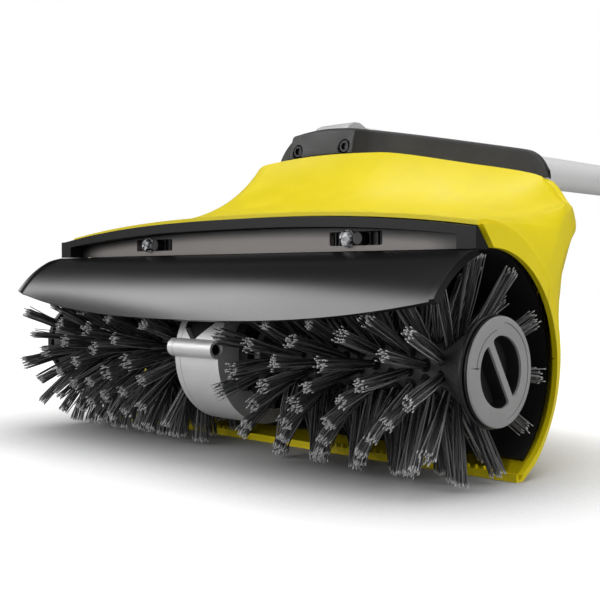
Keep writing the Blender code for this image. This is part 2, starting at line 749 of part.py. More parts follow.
def front_frame(mat):
    def top(x):
        return rim_height(x) - RIM_HEIGHT - RUN_GAP

    flange_back = RIM_Y - FIT_GAP
    inner_half = HALF_WIDTH - CHEEK_WALL - FIT_GAP
    frame = arched_bar("front_frame", HALF_WIDTH, FRAME_FRONT, flange_back, FRAME_BOTTOM, top, mat)
    join(frame, arched_bar("web", inner_half, flange_back - 0.001, FRAME_BACK, FRAME_BOTTOM, top, mat))
    end_top = RIM_Z_END - RIM_HEIGHT - RUN_GAP
    wedge = [(flange_back - 0.001, FRAME_BOTTOM), (OPENING_FRONT - RUN_GAP, FRAME_BOTTOM),
             (flange_back, end_top - RUN_GAP), (flange_back - 0.001, end_top - RUN_GAP)]
    lug = [(FRAME_FRONT, FRAME_BOTTOM), (FRAME_END_BACK, FRAME_BOTTOM), (FRAME_FRONT + 0.001, end_top),
           (FRAME_FRONT, end_top)]
    for side in (-1, 1):
        ends = sorted([side * (inner_half + FIT_GAP), side * HALF_WIDTH])
        join(frame, prism("end_plate", wedge, ends[0], ends[1], mat))
        ends = sorted([side * (HALF_WIDTH - 0.001), side * FRAME_HALF])
        join(frame, prism("end_lug", lug, ends[0], ends[1], mat))
    window = arched_bar("window", WINDOW_HALF, FRAME_FRONT - 0.01, FRAME_BACK + 0.01, FRAME_BOTTOM - 0.01,
                        window_top, mat)
    return cut(frame, window)


def nozzle_bar(mat):
    def top(x):
        return window_top(x) - FIT_GAP

    bar = arched_bar("nozzle_bar", WINDOW_HALF - FIT_GAP, BAR_FRONT, BAR_BACK, FRAME_BOTTOM + FIT_GAP, top, mat)
    slots = []
    for side in (-1, 1):
        x = side * NOZZLE_X
        slots.append(block("slot", (x - NOZZLE_SLOT_LEFT, BAR_FRONT - 0.01, NOZZLE_Z - NOZZLE_SLOT_HEIGHT / 2),
                           (x + NOZZLE_SLOT_RIGHT, BAR_BACK + 0.01, NOZZLE_Z + NOZZLE_SLOT_HEIGHT / 2), mat))
    return cut(bar, *slots)


def nozzle(name, x, mat):
    centre = (x, 0.0, NOZZLE_Z)
    head_back = BAR_FRONT - FIT_GAP
    tail_end = MANIFOLD_Y - MANIFOLD_RADIUS - FIT_GAP
    bore = 0.0008
    profile = [(NOZZLE_FRONT, bore), (NOZZLE_FRONT, NOZZLE_RADIUS - 0.0012), (NOZZLE_FRONT + 0.0012, NOZZLE_RADIUS),
               (head_back, NOZZLE_RADIUS), (head_back, NOZZLE_NECK), (BAR_BACK + 0.0006, NOZZLE_NECK),
               (BAR_BACK + 0.0006, NOZZLE_TAIL), (tail_end, NOZZLE_TAIL), (tail_end, bore)]
    return turned(name, profile, centre, mat, "Y", SMALL_SIDES)


def pipe_along(name, points, radius, mat, sides=8):
    """A solid pipe of round section along points, each ring square to the path."""
    rings = []
    path = [Vector(p) for p in points]
    for i, p in enumerate(path):
        ahead = path[min(i + 1, len(path) - 1)] - path[max(i - 1, 0)]
        ahead.normalize()
        u = Vector((1.0, 0.0, 0.0))
        u = (u - ahead * u.dot(ahead)).normalized()
        v = ahead.cross(u)
        rings.append([tuple(p + radius * (math.cos(a) * u + math.sin(a) * v))
                      for a in (2.0 * math.pi * k / sides for k in range(sides))])
    return loft(name, rings, mat)


def water_pipe(mat):
    """The feed from the valve to the manifold behind the spray bar."""
    manifold = rod("water_pipe", (0.0, MANIFOLD_Y, MANIFOLD_Z), -MANIFOLD_HALF, MANIFOLD_HALF, MANIFOLD_RADIUS,
                   mat, "X", 8)
    start = (-FEED_X, VALVE_FRONT - RUN_GAP, VALVE_Z)
    route = [start, (-FEED_X, VALVE_FRONT - 0.012, VALVE_Z), (-FEED_X, 0.070, VALVE_Z - 0.008),
             (-FEED_X, 0.030, MANIFOLD_Z + 0.004), (-FEED_X, MANIFOLD_Y + 0.010, MANIFOLD_Z),
             (-FEED_X, MANIFOLD_Y, MANIFOLD_Z)]
    feed = pipe_along("feed", [start] + smooth_through(route, 3), MANIFOLD_RADIUS * 0.94, mat)
    return join(manifold, feed)


def lip_point(x):
    """The guard's lower lip: lowest and furthest forward in the middle."""
    share = abs(x) / GUARD_HALF
    y = GUARD_LIP_Y_MID + (GUARD_LIP_Y_END - GUARD_LIP_Y_MID) * share ** 1.6
    z = GUARD_LIP_Z_MID + (GUARD_LIP_Z_END - GUARD_LIP_Z_MID) * share ** 2.6
    return y, z


def splash_guard(mat, across=16, down=5):
    rings = []
    for i in range(across + 1):
        x = -GUARD_HALF + 2.0 * GUARD_HALF * i / across
        y, z = lip_point(x)
        lip_radius = math.hypot(y, z - AXIS_HEIGHT)
        lip_angle = math.atan2(z - AXIS_HEIGHT, y)
        outer, inner = [], []
        for k in range(down + 1):
            share = k / down
            angle = GUARD_TOP_ANGLE + (lip_angle - GUARD_TOP_ANGLE) * share
            radius = GUARD_TOP_RADIUS + (lip_radius - GUARD_TOP_RADIUS) * share ** 2
            c, s = math.cos(angle), math.sin(angle)
            outer.append((x, radius * c, AXIS_HEIGHT + radius * s))
            inner.append((x, (radius - GUARD_WALL) * c, AXIS_HEIGHT + (radius - GUARD_WALL) * s))
        rings.append(outer + inner[::-1])
    return loft("splash_guard", rings, mat)


# Arm, belt drive and motor

def arm_section(inset):
    return belt_outline((0.0, AXIS_HEIGHT), ARM_RADIUS - inset, (MOTOR_Y, MOTOR_Z), ARM_TOP_RADIUS - inset)


def gearbox_body(mat):
    left = -ARM_HALF + ARM_COVER + FIT_GAP
    axis = (0.0, 0.0, AXIS_HEIGHT)
    motor = (0.0, MOTOR_Y, MOTOR_Z)
    body = prism("gearbox_body", arm_section(0.0), left, ARM_HALF, mat)
    join(body, rod("boss", (0.0, BOSS_Y, BOSS_Z), left, ARM_HALF, BOSS_RADIUS, mat, "X"))
    cut(body, prism("cavity", arm_section(ARM_WALL), left - 0.01, ARM_HALF - ARM_WALL, mat))
    seat = ARM_HALF - BEARING_WIDTH - FIT_GAP
    join(body, tube("seat", axis, seat, ARM_HALF - ARM_WALL + 0.0005, BEARING_RADIUS + 0.003,
                    BEARING_RADIUS + FIT_GAP, mat))
    cut(body, rod("bore", axis, seat - 0.001, ARM_HALF + 0.01, BEARING_RADIUS + FIT_GAP, mat, "X"),
        rod("motor_hole", motor, 0.0, ARM_HALF + 0.01, MOTOR_SHAFT_RADIUS + RUN_GAP, mat, "X"),
        rod("screw_hole", (0.0, BOSS_Y, BOSS_Z), left - 0.01, ARM_HALF + 0.01, SCREW_SHANK_RADIUS + FIT_GAP,
            mat, "X", 12),
        rod("sink", (0.0, BOSS_Y, BOSS_Z), ARM_HALF - SINK_DEPTH, ARM_HALF + CUT, SCREW_HEAD_RADIUS + FIT_GAP,
            mat, "X", SMALL_SIDES))
    return body


def gearbox_cover(mat):
    right = -ARM_HALF + ARM_COVER
    axis = (0.0, 0.0, AXIS_HEIGHT)
    cover = prism("gearbox_cover", arm_section(0.0), -ARM_HALF, right, mat)
    join(cover, rod("boss", (0.0, BOSS_Y, BOSS_Z), -ARM_HALF, right, BOSS_RADIUS, mat, "X"))
    seat = -ARM_HALF + BEARING_WIDTH + FIT_GAP
    join(cover, tube("seat", axis, right - 0.0005, seat, BEARING_RADIUS + 0.003, BEARING_RADIUS + FIT_GAP, mat))
    cut(cover, rod("bore", axis, -ARM_HALF - 0.01, seat + 0.001, BEARING_RADIUS + FIT_GAP, mat, "X"),
        rod("screw_hole", (0.0, BOSS_Y, BOSS_Z), -ARM_HALF + 0.001, right + 0.01, SCREW_SHANK_RADIUS + FIT_GAP,
            mat, "X", 12))
    return cover


def screw(name, centre, axis, head_at, length, mat, direction=1):
    """A screw with its head at head_at along the axis, its shank running in the given direction."""
    head = 0.0024
    a = [head_at, head_at + direction * head, head_at + direction * (head + length)]
    socket = 0.0013
    profile = [(a[0] + direction * socket, 0.0), (a[0] + direction * socket, SCREW_SHANK_RADIUS * 0.8),
               (a[0], SCREW_SHANK_RADIUS * 0.8), (a[0], SCREW_HEAD_RADIUS - 0.0006),
               (a[0] + direction * 0.0006, SCREW_HEAD_RADIUS), (a[1], SCREW_HEAD_RADIUS),
               (a[1], SCREW_SHANK_RADIUS), (a[2], SCREW_SHANK_RADIUS), (a[2], 0.0)]
    return turned(name, profile, centre, mat, axis, SMALL_SIDES)


def drive_belt(mat):
    def around(extra):
        return belt_outline((0.0, AXIS_HEIGHT), DRIVEN_PULLEY_RADIUS + extra, (MOTOR_Y, MOTOR_Z),
                            MOTOR_PULLEY_RADIUS + extra)

    half = PULLEY_HALF - 0.001
    belt = prism("drive_belt", around(FIT_GAP + BELT_THICKNESS), -half, half, mat)
    return cut(belt, prism("inside", around(FIT_GAP), -half - 0.01, half + 0.01, mat))


def drive_dog(name, side, mat):
    """The castellated hub that turns a roller."""
    axis = (0.0, 0.0, AXIS_HEIGHT)
    near = ARM_HALF + RUN_GAP
    far = near + DOG_THICKNESS
    bore = SHAFT_RADIUS + FIT_GAP
    dog = tube(name, axis, side * near, side * far, DOG_RADIUS, bore, mat, "X")
    lugs = []
    for k in range(DOG_LUGS):
        lug = block("lug", (min(side * near, side * far), -DOG_LUG_WIDTH / 2, DOG_RADIUS - 0.002),
                    (max(side * near, side * far), DOG_LUG_WIDTH / 2, DOG_LUG_RADIUS), mat)
        turn = Matrix.Rotation(2.0 * math.pi * k / DOG_LUGS, 4, "X")
        lug.data.transform(Matrix.Translation((0.0, 0.0, AXIS_HEIGHT)) @ turn)
        lugs.append(lug)
    return join(dog, *lugs)


def motor_parts(steel, copper, plastic):
    """The motor's can and end bell, and its rotor, pulley and fan."""
    centre = (0.0, MOTOR_Y, MOTOR_Z)
    start = ARM_HALF + FIT_GAP
    hole = MOTOR_SHAFT_RADIUS + RUN_GAP
    turned("motor_can", [(start, hole), (start, MOTOR_RADIUS), (MOTOR_END, MOTOR_RADIUS),
                         (MOTOR_END, MOTOR_RADIUS - MOTOR_WALL), (start + MOTOR_WALL, MOTOR_RADIUS - MOTOR_WALL),
                         (start + MOTOR_WALL, hole)], centre, steel)
    bell_start = MOTOR_END + FIT_GAP
    bell_end = bell_start + 0.004
    tube("motor_end_bell", centre, bell_start, bell_end, MOTOR_RADIUS, hole, plastic)
    radius = MOTOR_RADIUS - MOTOR_WALL - 0.0025
    fan_start = bell_end + 0.0012
    shaft_end = fan_start + 0.010
    turned("motor_rotor", [(-PULLEY_HALF - 0.003, 0.0), (-PULLEY_HALF - 0.003, MOTOR_SHAFT_RADIUS),
                           (start + 0.008, MOTOR_SHAFT_RADIUS), (start + 0.008, radius), (MOTOR_END - 0.010, radius),
                           (MOTOR_END - 0.010, MOTOR_SHAFT_RADIUS), (shaft_end, MOTOR_SHAFT_RADIUS),
                           (shaft_end, 0.0)], centre, copper)
    tube("motor_pulley", centre, -PULLEY_HALF, PULLEY_HALF, MOTOR_PULLEY_RADIUS, MOTOR_SHAFT_RADIUS + FIT_GAP, steel)
    fan = tube("cooling_fan", centre, fan_start, fan_start + 0.007, 0.009, MOTOR_SHAFT_RADIUS + FIT_GAP, plastic,
               "X", 20)
    blades = []
    for k in range(FAN_BLADES):
        blade = block("blade", (fan_start + 0.0005, -0.0008, 0.0075), (fan_start + 0.0065, 0.0008, FAN_RADIUS), plastic)
        turn = Matrix.Rotation(2.0 * math.pi * k / FAN_BLADES, 4, "X")
        blade.data.transform(Matrix.Translation(centre) @ turn)
        blades.append(blade)
    join(fan, *blades)


# Rollers and end caps

def roller_core(name, side, mat):
    """The moulded core: bored for the drive shaft inside, flared and bored for the cap's plug outside."""
    bore = SHAFT_RADIUS + RUN_GAP / 2
    plug = CAP_PLUG_RADIUS + FIT_GAP
    floor = SHAFT_HALF_LENGTH + 0.001
    plug_floor = CORE_END - CAP_PLUG_LENGTH - RUN_GAP
    cup_floor = CORE_END - CAP_CUP_DEPTH - RUN_GAP
    flare_start = CORE_END - FLARE_LENGTH
    profile = [(CORE_START, bore), (floor, bore), (floor, 0.0), (plug_floor, 0.0), (plug_floor, plug),
               (cup_floor, plug), (cup_floor, CAP_CUP_RADIUS + RUN_GAP), (CORE_END, CAP_CUP_RADIUS + RUN_GAP),
               (CORE_END, FLARE_RADIUS), (CORE_END - FLARE_LENGTH * 0.35, FLARE_RADIUS - 0.0045),
               (flare_start, CORE_RADIUS), (CORE_START + CORE_STEP, CORE_RADIUS),
               (CORE_START + CORE_STEP, DOG_RADIUS - 0.003), (CORE_START, DOG_RADIUS - 0.003)]
    profile = [(side * a, r) for a, r in profile]
    return turned(name, profile, (0.0, 0.0, AXIS_HEIGHT), mat, "X", CORE_SIDES)


def strand(base, tip, across):
    """The two rings of one tapered bristle strand, from its base inside the core to its tip."""
    ahead = (tip - base).normalized()
    u = (across - ahead * across.dot(ahead)).normalized()
    v = ahead.cross(u)
    rings = []
    for centre, radius in ((base, STRAND_RADIUS), (tip, STRAND_TIP_RADIUS)):
        rings.append([centre + radius * (math.cos(a) * u + math.sin(a) * v)
                      for a in (2.0 * math.pi * k / STRAND_SIDES for k in range(STRAND_SIDES))])
    return rings


def roller_strands(side, mat):
    """All strands of one roller in one mesh of separate spikes: rows along the core, each row twisted on."""
    verts, faces = [], []
    centre = Vector((0.0, 0.0, AXIS_HEIGHT))
    reach = BRUSH_RADIUS - STRAND_TIP_RADIUS
    root = CORE_RADIUS - 0.0015
    for row in range(TUFT_ROWS):
        share = row / (TUFT_ROWS - 1)
        x = TUFT_START + (TUFT_END - TUFT_START) * share
        splay = END_SPLAY * max(0.0, share * 4.0 - 3.0) - START_SPLAY * max(0.0, 1.0 - share * 4.0)
        for k in range(TUFTS_PER_ROW):
            angle = 2.0 * math.pi * (k + 0.5 * (row % 2)) / TUFTS_PER_ROW + row * ROW_TWIST
            out = Vector((0.0, math.cos(angle), math.sin(angle)))
            around = Vector((0.0, -math.sin(angle), math.cos(angle)))
            for lean in (-0.5, 0.5):
                base = centre + out * root + Vector((side * (x + lean * STRAND_ROOT_PITCH), 0.0, 0.0))
                tip = (centre + out * reach + around * lean * STRAND_TIP_TURN
                       + Vector((side * (x + splay + lean * STRAND_TIP_PITCH), 0.0, 0.0)))
                near, far = strand(base, tip, around)
                first = len(verts)
                verts += near + far
                for j in range(STRAND_SIDES):
                    m = (j + 1) % STRAND_SIDES
                    faces.append((first + j, first + m, first + STRAND_SIDES + m, first + STRAND_SIDES + j))
                faces.append(tuple(first + j for j in range(STRAND_SIDES)))
                faces.append(tuple(first + STRAND_SIDES + j for j in range(STRAND_SIDES)))
    return make_object("strands", verts, faces, mat)


def bristle_roller(name, side, mat):
    return join(roller_core(name, side, mat), roller_strands(side, mat))


def half_moon(sign, radius, bar, tilt, steps=7):
    """One finger recess of the cap, on one side of the grip bar."""
    normal = tilt + (0.0 if sign > 0 else math.pi)
    half = math.acos(bar / 2 / radius)
    return [(radius * math.cos(normal + a), radius * math.sin(normal + a))
            for a in (-half + 2.0 * half * k / steps for k in range(steps + 1))]


def end_cap(name, side, mat):
    """The turn-to-lock cap at the roller's outer end, with two finger recesses either side of a bar."""
    flange = CORE_END + FIT_GAP
    flange_end = flange + CAP_FLANGE_DEPTH
    face_start = CAP_FACE - CAP_FACE_DEPTH
    plug_end = CORE_END - CAP_PLUG_LENGTH
    waist = CAP_RADIUS - 0.0016
    cup = flange - CAP_CUP_DEPTH
    profile = [(plug_end, 0.0), (plug_end, CAP_PLUG_RADIUS), (cup, CAP_PLUG_RADIUS), (cup, CAP_CUP_RADIUS),
               (flange, CAP_CUP_RADIUS), (flange, CAP_FLANGE_RADIUS),
               (flange_end, CAP_FLANGE_RADIUS), (flange_end, waist), (face_start, waist), (face_start, CAP_RADIUS),
               (CAP_FACE - 0.0010, CAP_RADIUS), (CAP_FACE, CAP_RADIUS - 0.0010), (CAP_FACE, 0.0)]
    cap = turned(name, [(side * a, r) for a, r in profile], (0.0, 0.0, AXIS_HEIGHT), mat, "X", CAP_SIDES)
    cutters = []
    for sign in (-1, 1):
        outline = [(y, z + AXIS_HEIGHT) for y, z in half_moon(sign, GRIP_CIRCLE, GRIP_BAR, GRIP_TILT)]
        near, far = side * (CAP_FACE - GRIP_DEPTH), side * (CAP_FACE + 0.01)
        cutters.append(prism("recess", outline, near, far, mat))
    return cut(cap, *cutters)


# Top cover

def height_on(points, y):
    """The height of a line of points at y."""
    for (y0, z0), (y1, z1) in zip(points, points[1:]):
        if y0 <= y <= y1:
            return z0 + (z1 - z0) * (y - y0) / (y1 - y0)
    return points[-1][1]


def cover_front(x):
    """The front of the cover in plan: a flat nose, a ridge, and wings that sweep back behind it."""
    beyond = max(0.0, x - COVER_NOSE_HALF)
    step = min(1.0, beyond / COVER_RIDGE_WIDTH)
    return COVER_FRONT + COVER_SWEEP * beyond + COVER_RIDGE_STEP * step * step * (3.0 - 2.0 * step)


def cover_crown(x):
    end = max(0.0, (x - COVER_END_START) / (COVER_WING_X - COVER_END_START))
    return (COVER_TOP - COVER_CROWN_SLOPE * (math.hypot(x, COVER_CROWN_ROUND) - COVER_CROWN_ROUND)
            - COVER_END_DROP * end ** 3)


def cover_section(x):
    """One section of the black cover: it rests on the housing's deck, and its crown falls towards the wings."""
    skin = faceted_section(x)
    edge = FLARE_STEPS + 1
    deck = skin[edge:edge + 2 + REAR_STEPS]
    front = max(cover_front(x), deck[0][0] + FIT_GAP)
    crown = cover_crown(x)
    back = deck[-1][0]
    lean = min(COVER_LEAN, 0.3 * (back - front))
    ys = [front] + [max(y, front + COVER_STEP * (k + 1)) for k, (y, _) in enumerate(deck[1:])]
    section = [(y, height_on(deck, y) + COVER_LIFT) for y in ys]
    low = section[0][1]
    section += [(back + 0.001, crown - COVER_EDGE), (back - COVER_EDGE, crown), (front + lean + COVER_EDGE, crown),
                (front + lean, crown - COVER_EDGE), (front + 0.3 * lean, low + 0.5 * (crown - low))]
    return section


def top_cover(mat):
    half = [0.0, COVER_NOSE_HALF / 2, COVER_NOSE_HALF, COVER_NOSE_HALF + COVER_RIDGE_WIDTH, COVER_END_START,
            COVER_WING_X - 0.0050, COVER_WING_X]
    half = sorted(half + [x for x in stations() if 0.0 < x < COVER_WING_X - 0.0100])
    xs = [-x for x in reversed(half[1:])] + half
    rings = [[(x, y, z) for y, z in cover_section(abs(x))] for x in xs]
    cover = loft("top_cover", rings, mat)
    floor = HINGE_Z - TUBE_RADIUS - CHANNEL_FLOOR
    cut(cover, block("channel", (-CHANNEL_HALF, CHANNEL_FRONT, floor), (CHANNEL_HALF, 1.0, 1.0), mat),
        rod("pin_hole", (0.0, HINGE_Y, HINGE_Z), -HINGE_PIN_HALF - FIT_GAP, HINGE_PIN_HALF + FIT_GAP,
            HINGE_PIN_RADIUS + FIT_GAP, mat, "X"))
    holes = []
    for side in (-1, 1):
        centre = (side * COVER_SCREW_X, 0.0, COVER_SCREW_Z)
        holes.append(rod("head_hole", centre, COVER_FRONT - 0.01, SCREW_SEAT_Y, SCREW_HEAD_RADIUS + RUN_GAP, mat, "Y"))
        holes.append(rod("shank_hole", centre, COVER_FRONT, SCREW_SEAT_Y + COVER_SCREW_LENGTH + 0.001,
                         SCREW_SHANK_RADIUS + FIT_GAP, mat, "Y", 12))
    return cut(cover, *holes)


# Handle

def handle_axis():
    return (0.0, 0.0, HINGE_Z)


def handle_knuckle(mat):
    half = CHANNEL_HALF - RUN_GAP
    eye = rod("handle_knuckle", (0.0, HINGE_Y, HINGE_Z), -half, half, TUBE_RADIUS, mat, "X")
    join(eye, rod("neck", handle_axis(), HINGE_Y, TUBE_START, TUBE_RADIUS, mat, "Y"),
         rod("spigot", handle_axis(), HINGE_Y + 0.004, SPIGOT_END, TUBE_RADIUS - TUBE_WALL - FIT_GAP, mat, "Y"))
    return cut(eye, rod("bore", (0.0, HINGE_Y, HINGE_Z), -0.1, 0.1, HINGE_PIN_RADIUS + FIT_GAP, mat, "X"))


def clamp_collar(mat):
    step = TUBE_END + FIT_GAP
    profile = [(COLLAR_START, TUBE_RADIUS + FIT_GAP), (step, TUBE_RADIUS + FIT_GAP),
               (step, UPPER_TUBE_RADIUS + FIT_GAP), (COLLAR_END, UPPER_TUBE_RADIUS + FIT_GAP),
               (COLLAR_END, COLLAR_RADIUS - 0.0015), (COLLAR_END - 0.0015, COLLAR_RADIUS),
               (COLLAR_START + 0.0015, COLLAR_RADIUS), (COLLAR_START, COLLAR_RADIUS - 0.0015)]
    collar = turned("clamp_collar", profile, handle_axis(), mat, "Y")
    ears = []
    for sign in (-1, 1):
        z0 = HINGE_Z + sign * (LEVER_HALF_HEIGHT + FIT_GAP)
        z1 = z0 + sign * 0.0022
        ears.append(block("ear", (COLLAR_RADIUS - 0.006, LEVER_PIVOT_Y - 0.0025, min(z0, z1)),
                          (LEVER_PIVOT_X + 0.0022, LEVER_PIVOT_Y + 0.0025, max(z0, z1)), mat))
    join(collar, *ears)
    return cut(collar, rod("pin_hole", (LEVER_PIVOT_X, LEVER_PIVOT_Y, HINGE_Z), -0.02, 0.02,
                           LEVER_PIN_RADIUS + FIT_GAP, mat, "Z", 12))


def clamp_lever(mat):
    """A quick-clamp lever that lies along the collar and swings out about its pin."""
    x, y = LEVER_PIVOT_X, LEVER_PIVOT_Y
    heel = arc((x, y), LEVER_HEEL, math.radians(0.0), math.radians(-180.0), 6)
    inside = COLLAR_RADIUS + RUN_GAP
    outline = heel + [(inside, y + 0.006), (inside, COLLAR_END - 0.006), (inside + 0.0015, COLLAR_END + 0.006),
                      (inside + 0.0045, COLLAR_END + 0.006), (x + LEVER_HEEL, COLLAR_END - 0.004)]
    lever = prism("clamp_lever", outline, HINGE_Z - LEVER_HALF_HEIGHT, HINGE_Z + LEVER_HALF_HEIGHT, mat, "Z")
    return cut(lever, rod("pin_hole", (x, y, HINGE_Z), -0.02, 0.02, LEVER_PIN_RADIUS + FIT_GAP, mat, "Z", 12))


GRIP_SHAPE = [(0.0, 0.74), (0.05, 0.90), (0.16, 1.0), (0.40, 0.93), (0.68, 0.95), (0.88, 1.08), (0.96, 1.0), (1.0, 0.80)]


def grip_scale(share):
    for (a, ra), (b, rb) in zip(GRIP_SHAPE, GRIP_SHAPE[1:]):
        if share <= b:
            return ra + (rb - ra) * (share - a) / (b - a)
    return GRIP_SHAPE[-1][1]


def grip_half(name, side, mat, sides=7):
    """Half of the grip, parted along the middle, bored for the tube and the switch parts."""
    rings = []
    shares = [0.0, 0.05, 0.16, 0.32, 0.50, 0.68, 0.88, 0.96, 1.0]
    for share in shares:
        y = GRIP_START + (GRIP_END - GRIP_START) * share
        scale = grip_scale(share)
        ring = []
        for k in range(sides + 1):
            angle = -math.pi / 2 + math.pi * k / sides
            ring.append((side * (GRIP_RADIUS * scale * math.cos(angle) + FIT_GAP / 2), y,
                         HINGE_Z + GRIP_HEIGHT * scale * math.sin(angle)))
        rings.append(ring)
    shell = loft(name, rings, mat)
    middle = handle_axis()
    trigger_top = HINGE_Z - UPPER_TUBE_RADIUS
    cut(shell, rod("tube_bore", middle, GRIP_START - 0.01, UPPER_TUBE_END + FIT_GAP, UPPER_TUBE_RADIUS + FIT_GAP,
                   mat, "Y"),
        block("trigger_pocket", (-TRIGGER_HALF - RUN_GAP, TRIGGER_FRONT - 0.0012, HINGE_Z - 0.05),
              (TRIGGER_HALF + RUN_GAP, TRIGGER_BACK + 0.0012, trigger_top), mat),
        rod("button_hole", (0.0, BUTTON_Y, HINGE_Z), 0.005, 0.05, BUTTON_RADIUS + FIT_GAP, mat, "Z"),
        rod("pin_hole", (0.0, TRIGGER_PIVOT_Y, TRIGGER_PIVOT_Z), -TRIGGER_PIN_HALF - FIT_GAP,
            TRIGGER_PIN_HALF + FIT_GAP, TRIGGER_PIN_RADIUS + FIT_GAP, mat, "X", 12),
        rod("gland_hole", (0.0, 0.0, HINGE_Z), GRIP_END - GLAND_DEPTH, GRIP_END + 0.01, GLAND_RADIUS + FIT_GAP,
            mat, "Y"))
    for y in GRIP_SCREWS:
        centre = (0.0, y, GRIP_SCREW_Z)
        cut(shell, rod("shank_hole", centre, -GRIP_SCREW_REACH - FIT_GAP, GRIP_SCREW_REACH + 0.01,
                       SCREW_SHANK_RADIUS + FIT_GAP, mat, "X", 12),
            rod("head_hole", centre, GRIP_SCREW_SEAT + FIT_GAP, 0.05, SCREW_HEAD_RADIUS + FIT_GAP, mat, "X"))
    return shell


def trigger(mat):
    """The switch trigger under the grip, hung from a pin at its front end."""
    y0, z0 = TRIGGER_PIVOT_Y, TRIGGER_PIVOT_Z
    outline = arc((y0, z0), TRIGGER_HEEL, math.radians(90.0), math.radians(270.0), 8)
    outline += bezier((TRIGGER_FRONT + 0.008, z0 - TRIGGER_HEEL), (TRIGGER_FRONT + 0.016, z0 - 0.0085),
                      (TRIGGER_BACK - 0.012, z0 - 0.0100), (TRIGGER_BACK, z0 - 0.0065), 6)
    outline += [(TRIGGER_BACK, z0 - 0.0015), (y0 + 0.006, z0 + TRIGGER_HEEL - 0.0010)]
    lever = prism("trigger", outline, -TRIGGER_HALF, TRIGGER_HALF, mat)
    return cut(lever, rod("pin_hole", (0.0, y0, z0), -0.02, 0.02, TRIGGER_PIN_RADIUS + FIT_GAP, mat, "X", 12))


# Water inlet and electrics

def hose_coupling(mat):
    """The hose spigot: a flange inside the rear wall, a collar outside and a ribbed end."""
    centre = (-INLET_X, 0.0, VALVE_Z)
    face = PAD_FACE_Y + FIT_GAP
    collar = INLET_RADIUS + INLET_COLLAR
    profile = [(VALVE_BACK, SPIGOT_BORE), (VALVE_BACK, INLET_RADIUS), (face, INLET_RADIUS), (face, collar),
               (face + 0.004, collar), (face + 0.004, SPIGOT_RADIUS)]
    for k in range(SPIGOT_RIBS):
        a = face + 0.008 + k * SPIGOT_RIB_PITCH
        profile += [(a, SPIGOT_RADIUS), (a + 0.0006, SPIGOT_RADIUS + SPIGOT_RIB_HEIGHT), (a + 0.004, SPIGOT_RADIUS)]
    end = face + 0.010 + SPIGOT_RIBS * SPIGOT_RIB_PITCH
    profile += [(end, SPIGOT_RADIUS - 0.0005), (end, SPIGOT_BORE)]
    return turned("hose_coupling", profile, centre, mat, "Y", 12)


def flow_knob(mat):
    """The flow knob: a stem through the rear wall, a round skirt outside and a bar to turn it by."""
    centre = (-KNOB_X, 0.0, VALVE_Z)
    face = PAD_FACE_Y + RUN_GAP
    top = face + 0.009
    profile = [(VALVE_BACK, 0.0), (VALVE_BACK, KNOB_STEM), (face, KNOB_STEM), (face, KNOB_RADIUS),
               (top, KNOB_RADIUS - 0.001), (top, 0.0)]
    knob = turned("flow_knob", profile, centre, mat, "Y")
    bar = block("bar", (-KNOB_X - 0.002, top - 0.002, VALVE_Z - KNOB_RADIUS + 0.002),
                (-KNOB_X + 0.002, top + 0.005, VALVE_Z + KNOB_RADIUS - 0.002), mat)
    return join(knob, bar)


def valve_body(mat):
    back = VALVE_BACK - FIT_GAP
    body = block("valve_body", (-KNOB_X - 0.008, VALVE_FRONT, VALVE_Z - VALVE_HALF_HEIGHT),
                 (-INLET_X + 0.010, back, VALVE_Z + VALVE_HALF_HEIGHT), mat)
    return cut(body, rod("bore", (-INLET_X, 0.0, VALVE_Z), VALVE_FRONT + 0.004, back + CUT, SPIGOT_BORE, mat, "Y"))


def control_board(mat):
    y = (OPENING_RADIUS + CHAMBER_GAP + CHAMBER_WALL) * math.cos(BOARD_POST_ANGLE)
    low = (-BOARD_CENTRE_X - BOARD_HALF_X, y, BOARD_Z)
    high = (-BOARD_CENTRE_X + BOARD_HALF_X, y + BOARD_DEPTH, BOARD_Z + 0.0016)
    board = block("control_board", low, high, mat)
    top = BOARD_Z + 0.001
    parts = [rod("capacitor", (-BOARD_CENTRE_X - 0.008, y + 0.014, 0.0), top, top + 0.014, 0.007, mat, "Z"),
             block("choke", (-BOARD_CENTRE_X + 0.004, y + 0.006, top), (-BOARD_CENTRE_X + 0.016, y + 0.018, top + 0.010), mat),
             block("terminals", (-BOARD_CENTRE_X - 0.014, y + 0.028, top), (-BOARD_CENTRE_X + 0.014, y + 0.035, top + 0.008),
                   mat)]
    return join(board, *parts)


# Placing the pieces

def set_axis(name, point):
    """Puts an object's origin on its joint's axis and leaves its mesh where it is."""
    obj = bpy.data.objects[name]
    obj.data.transform(Matrix.Translation([-c for c in point]))
    obj.location = point


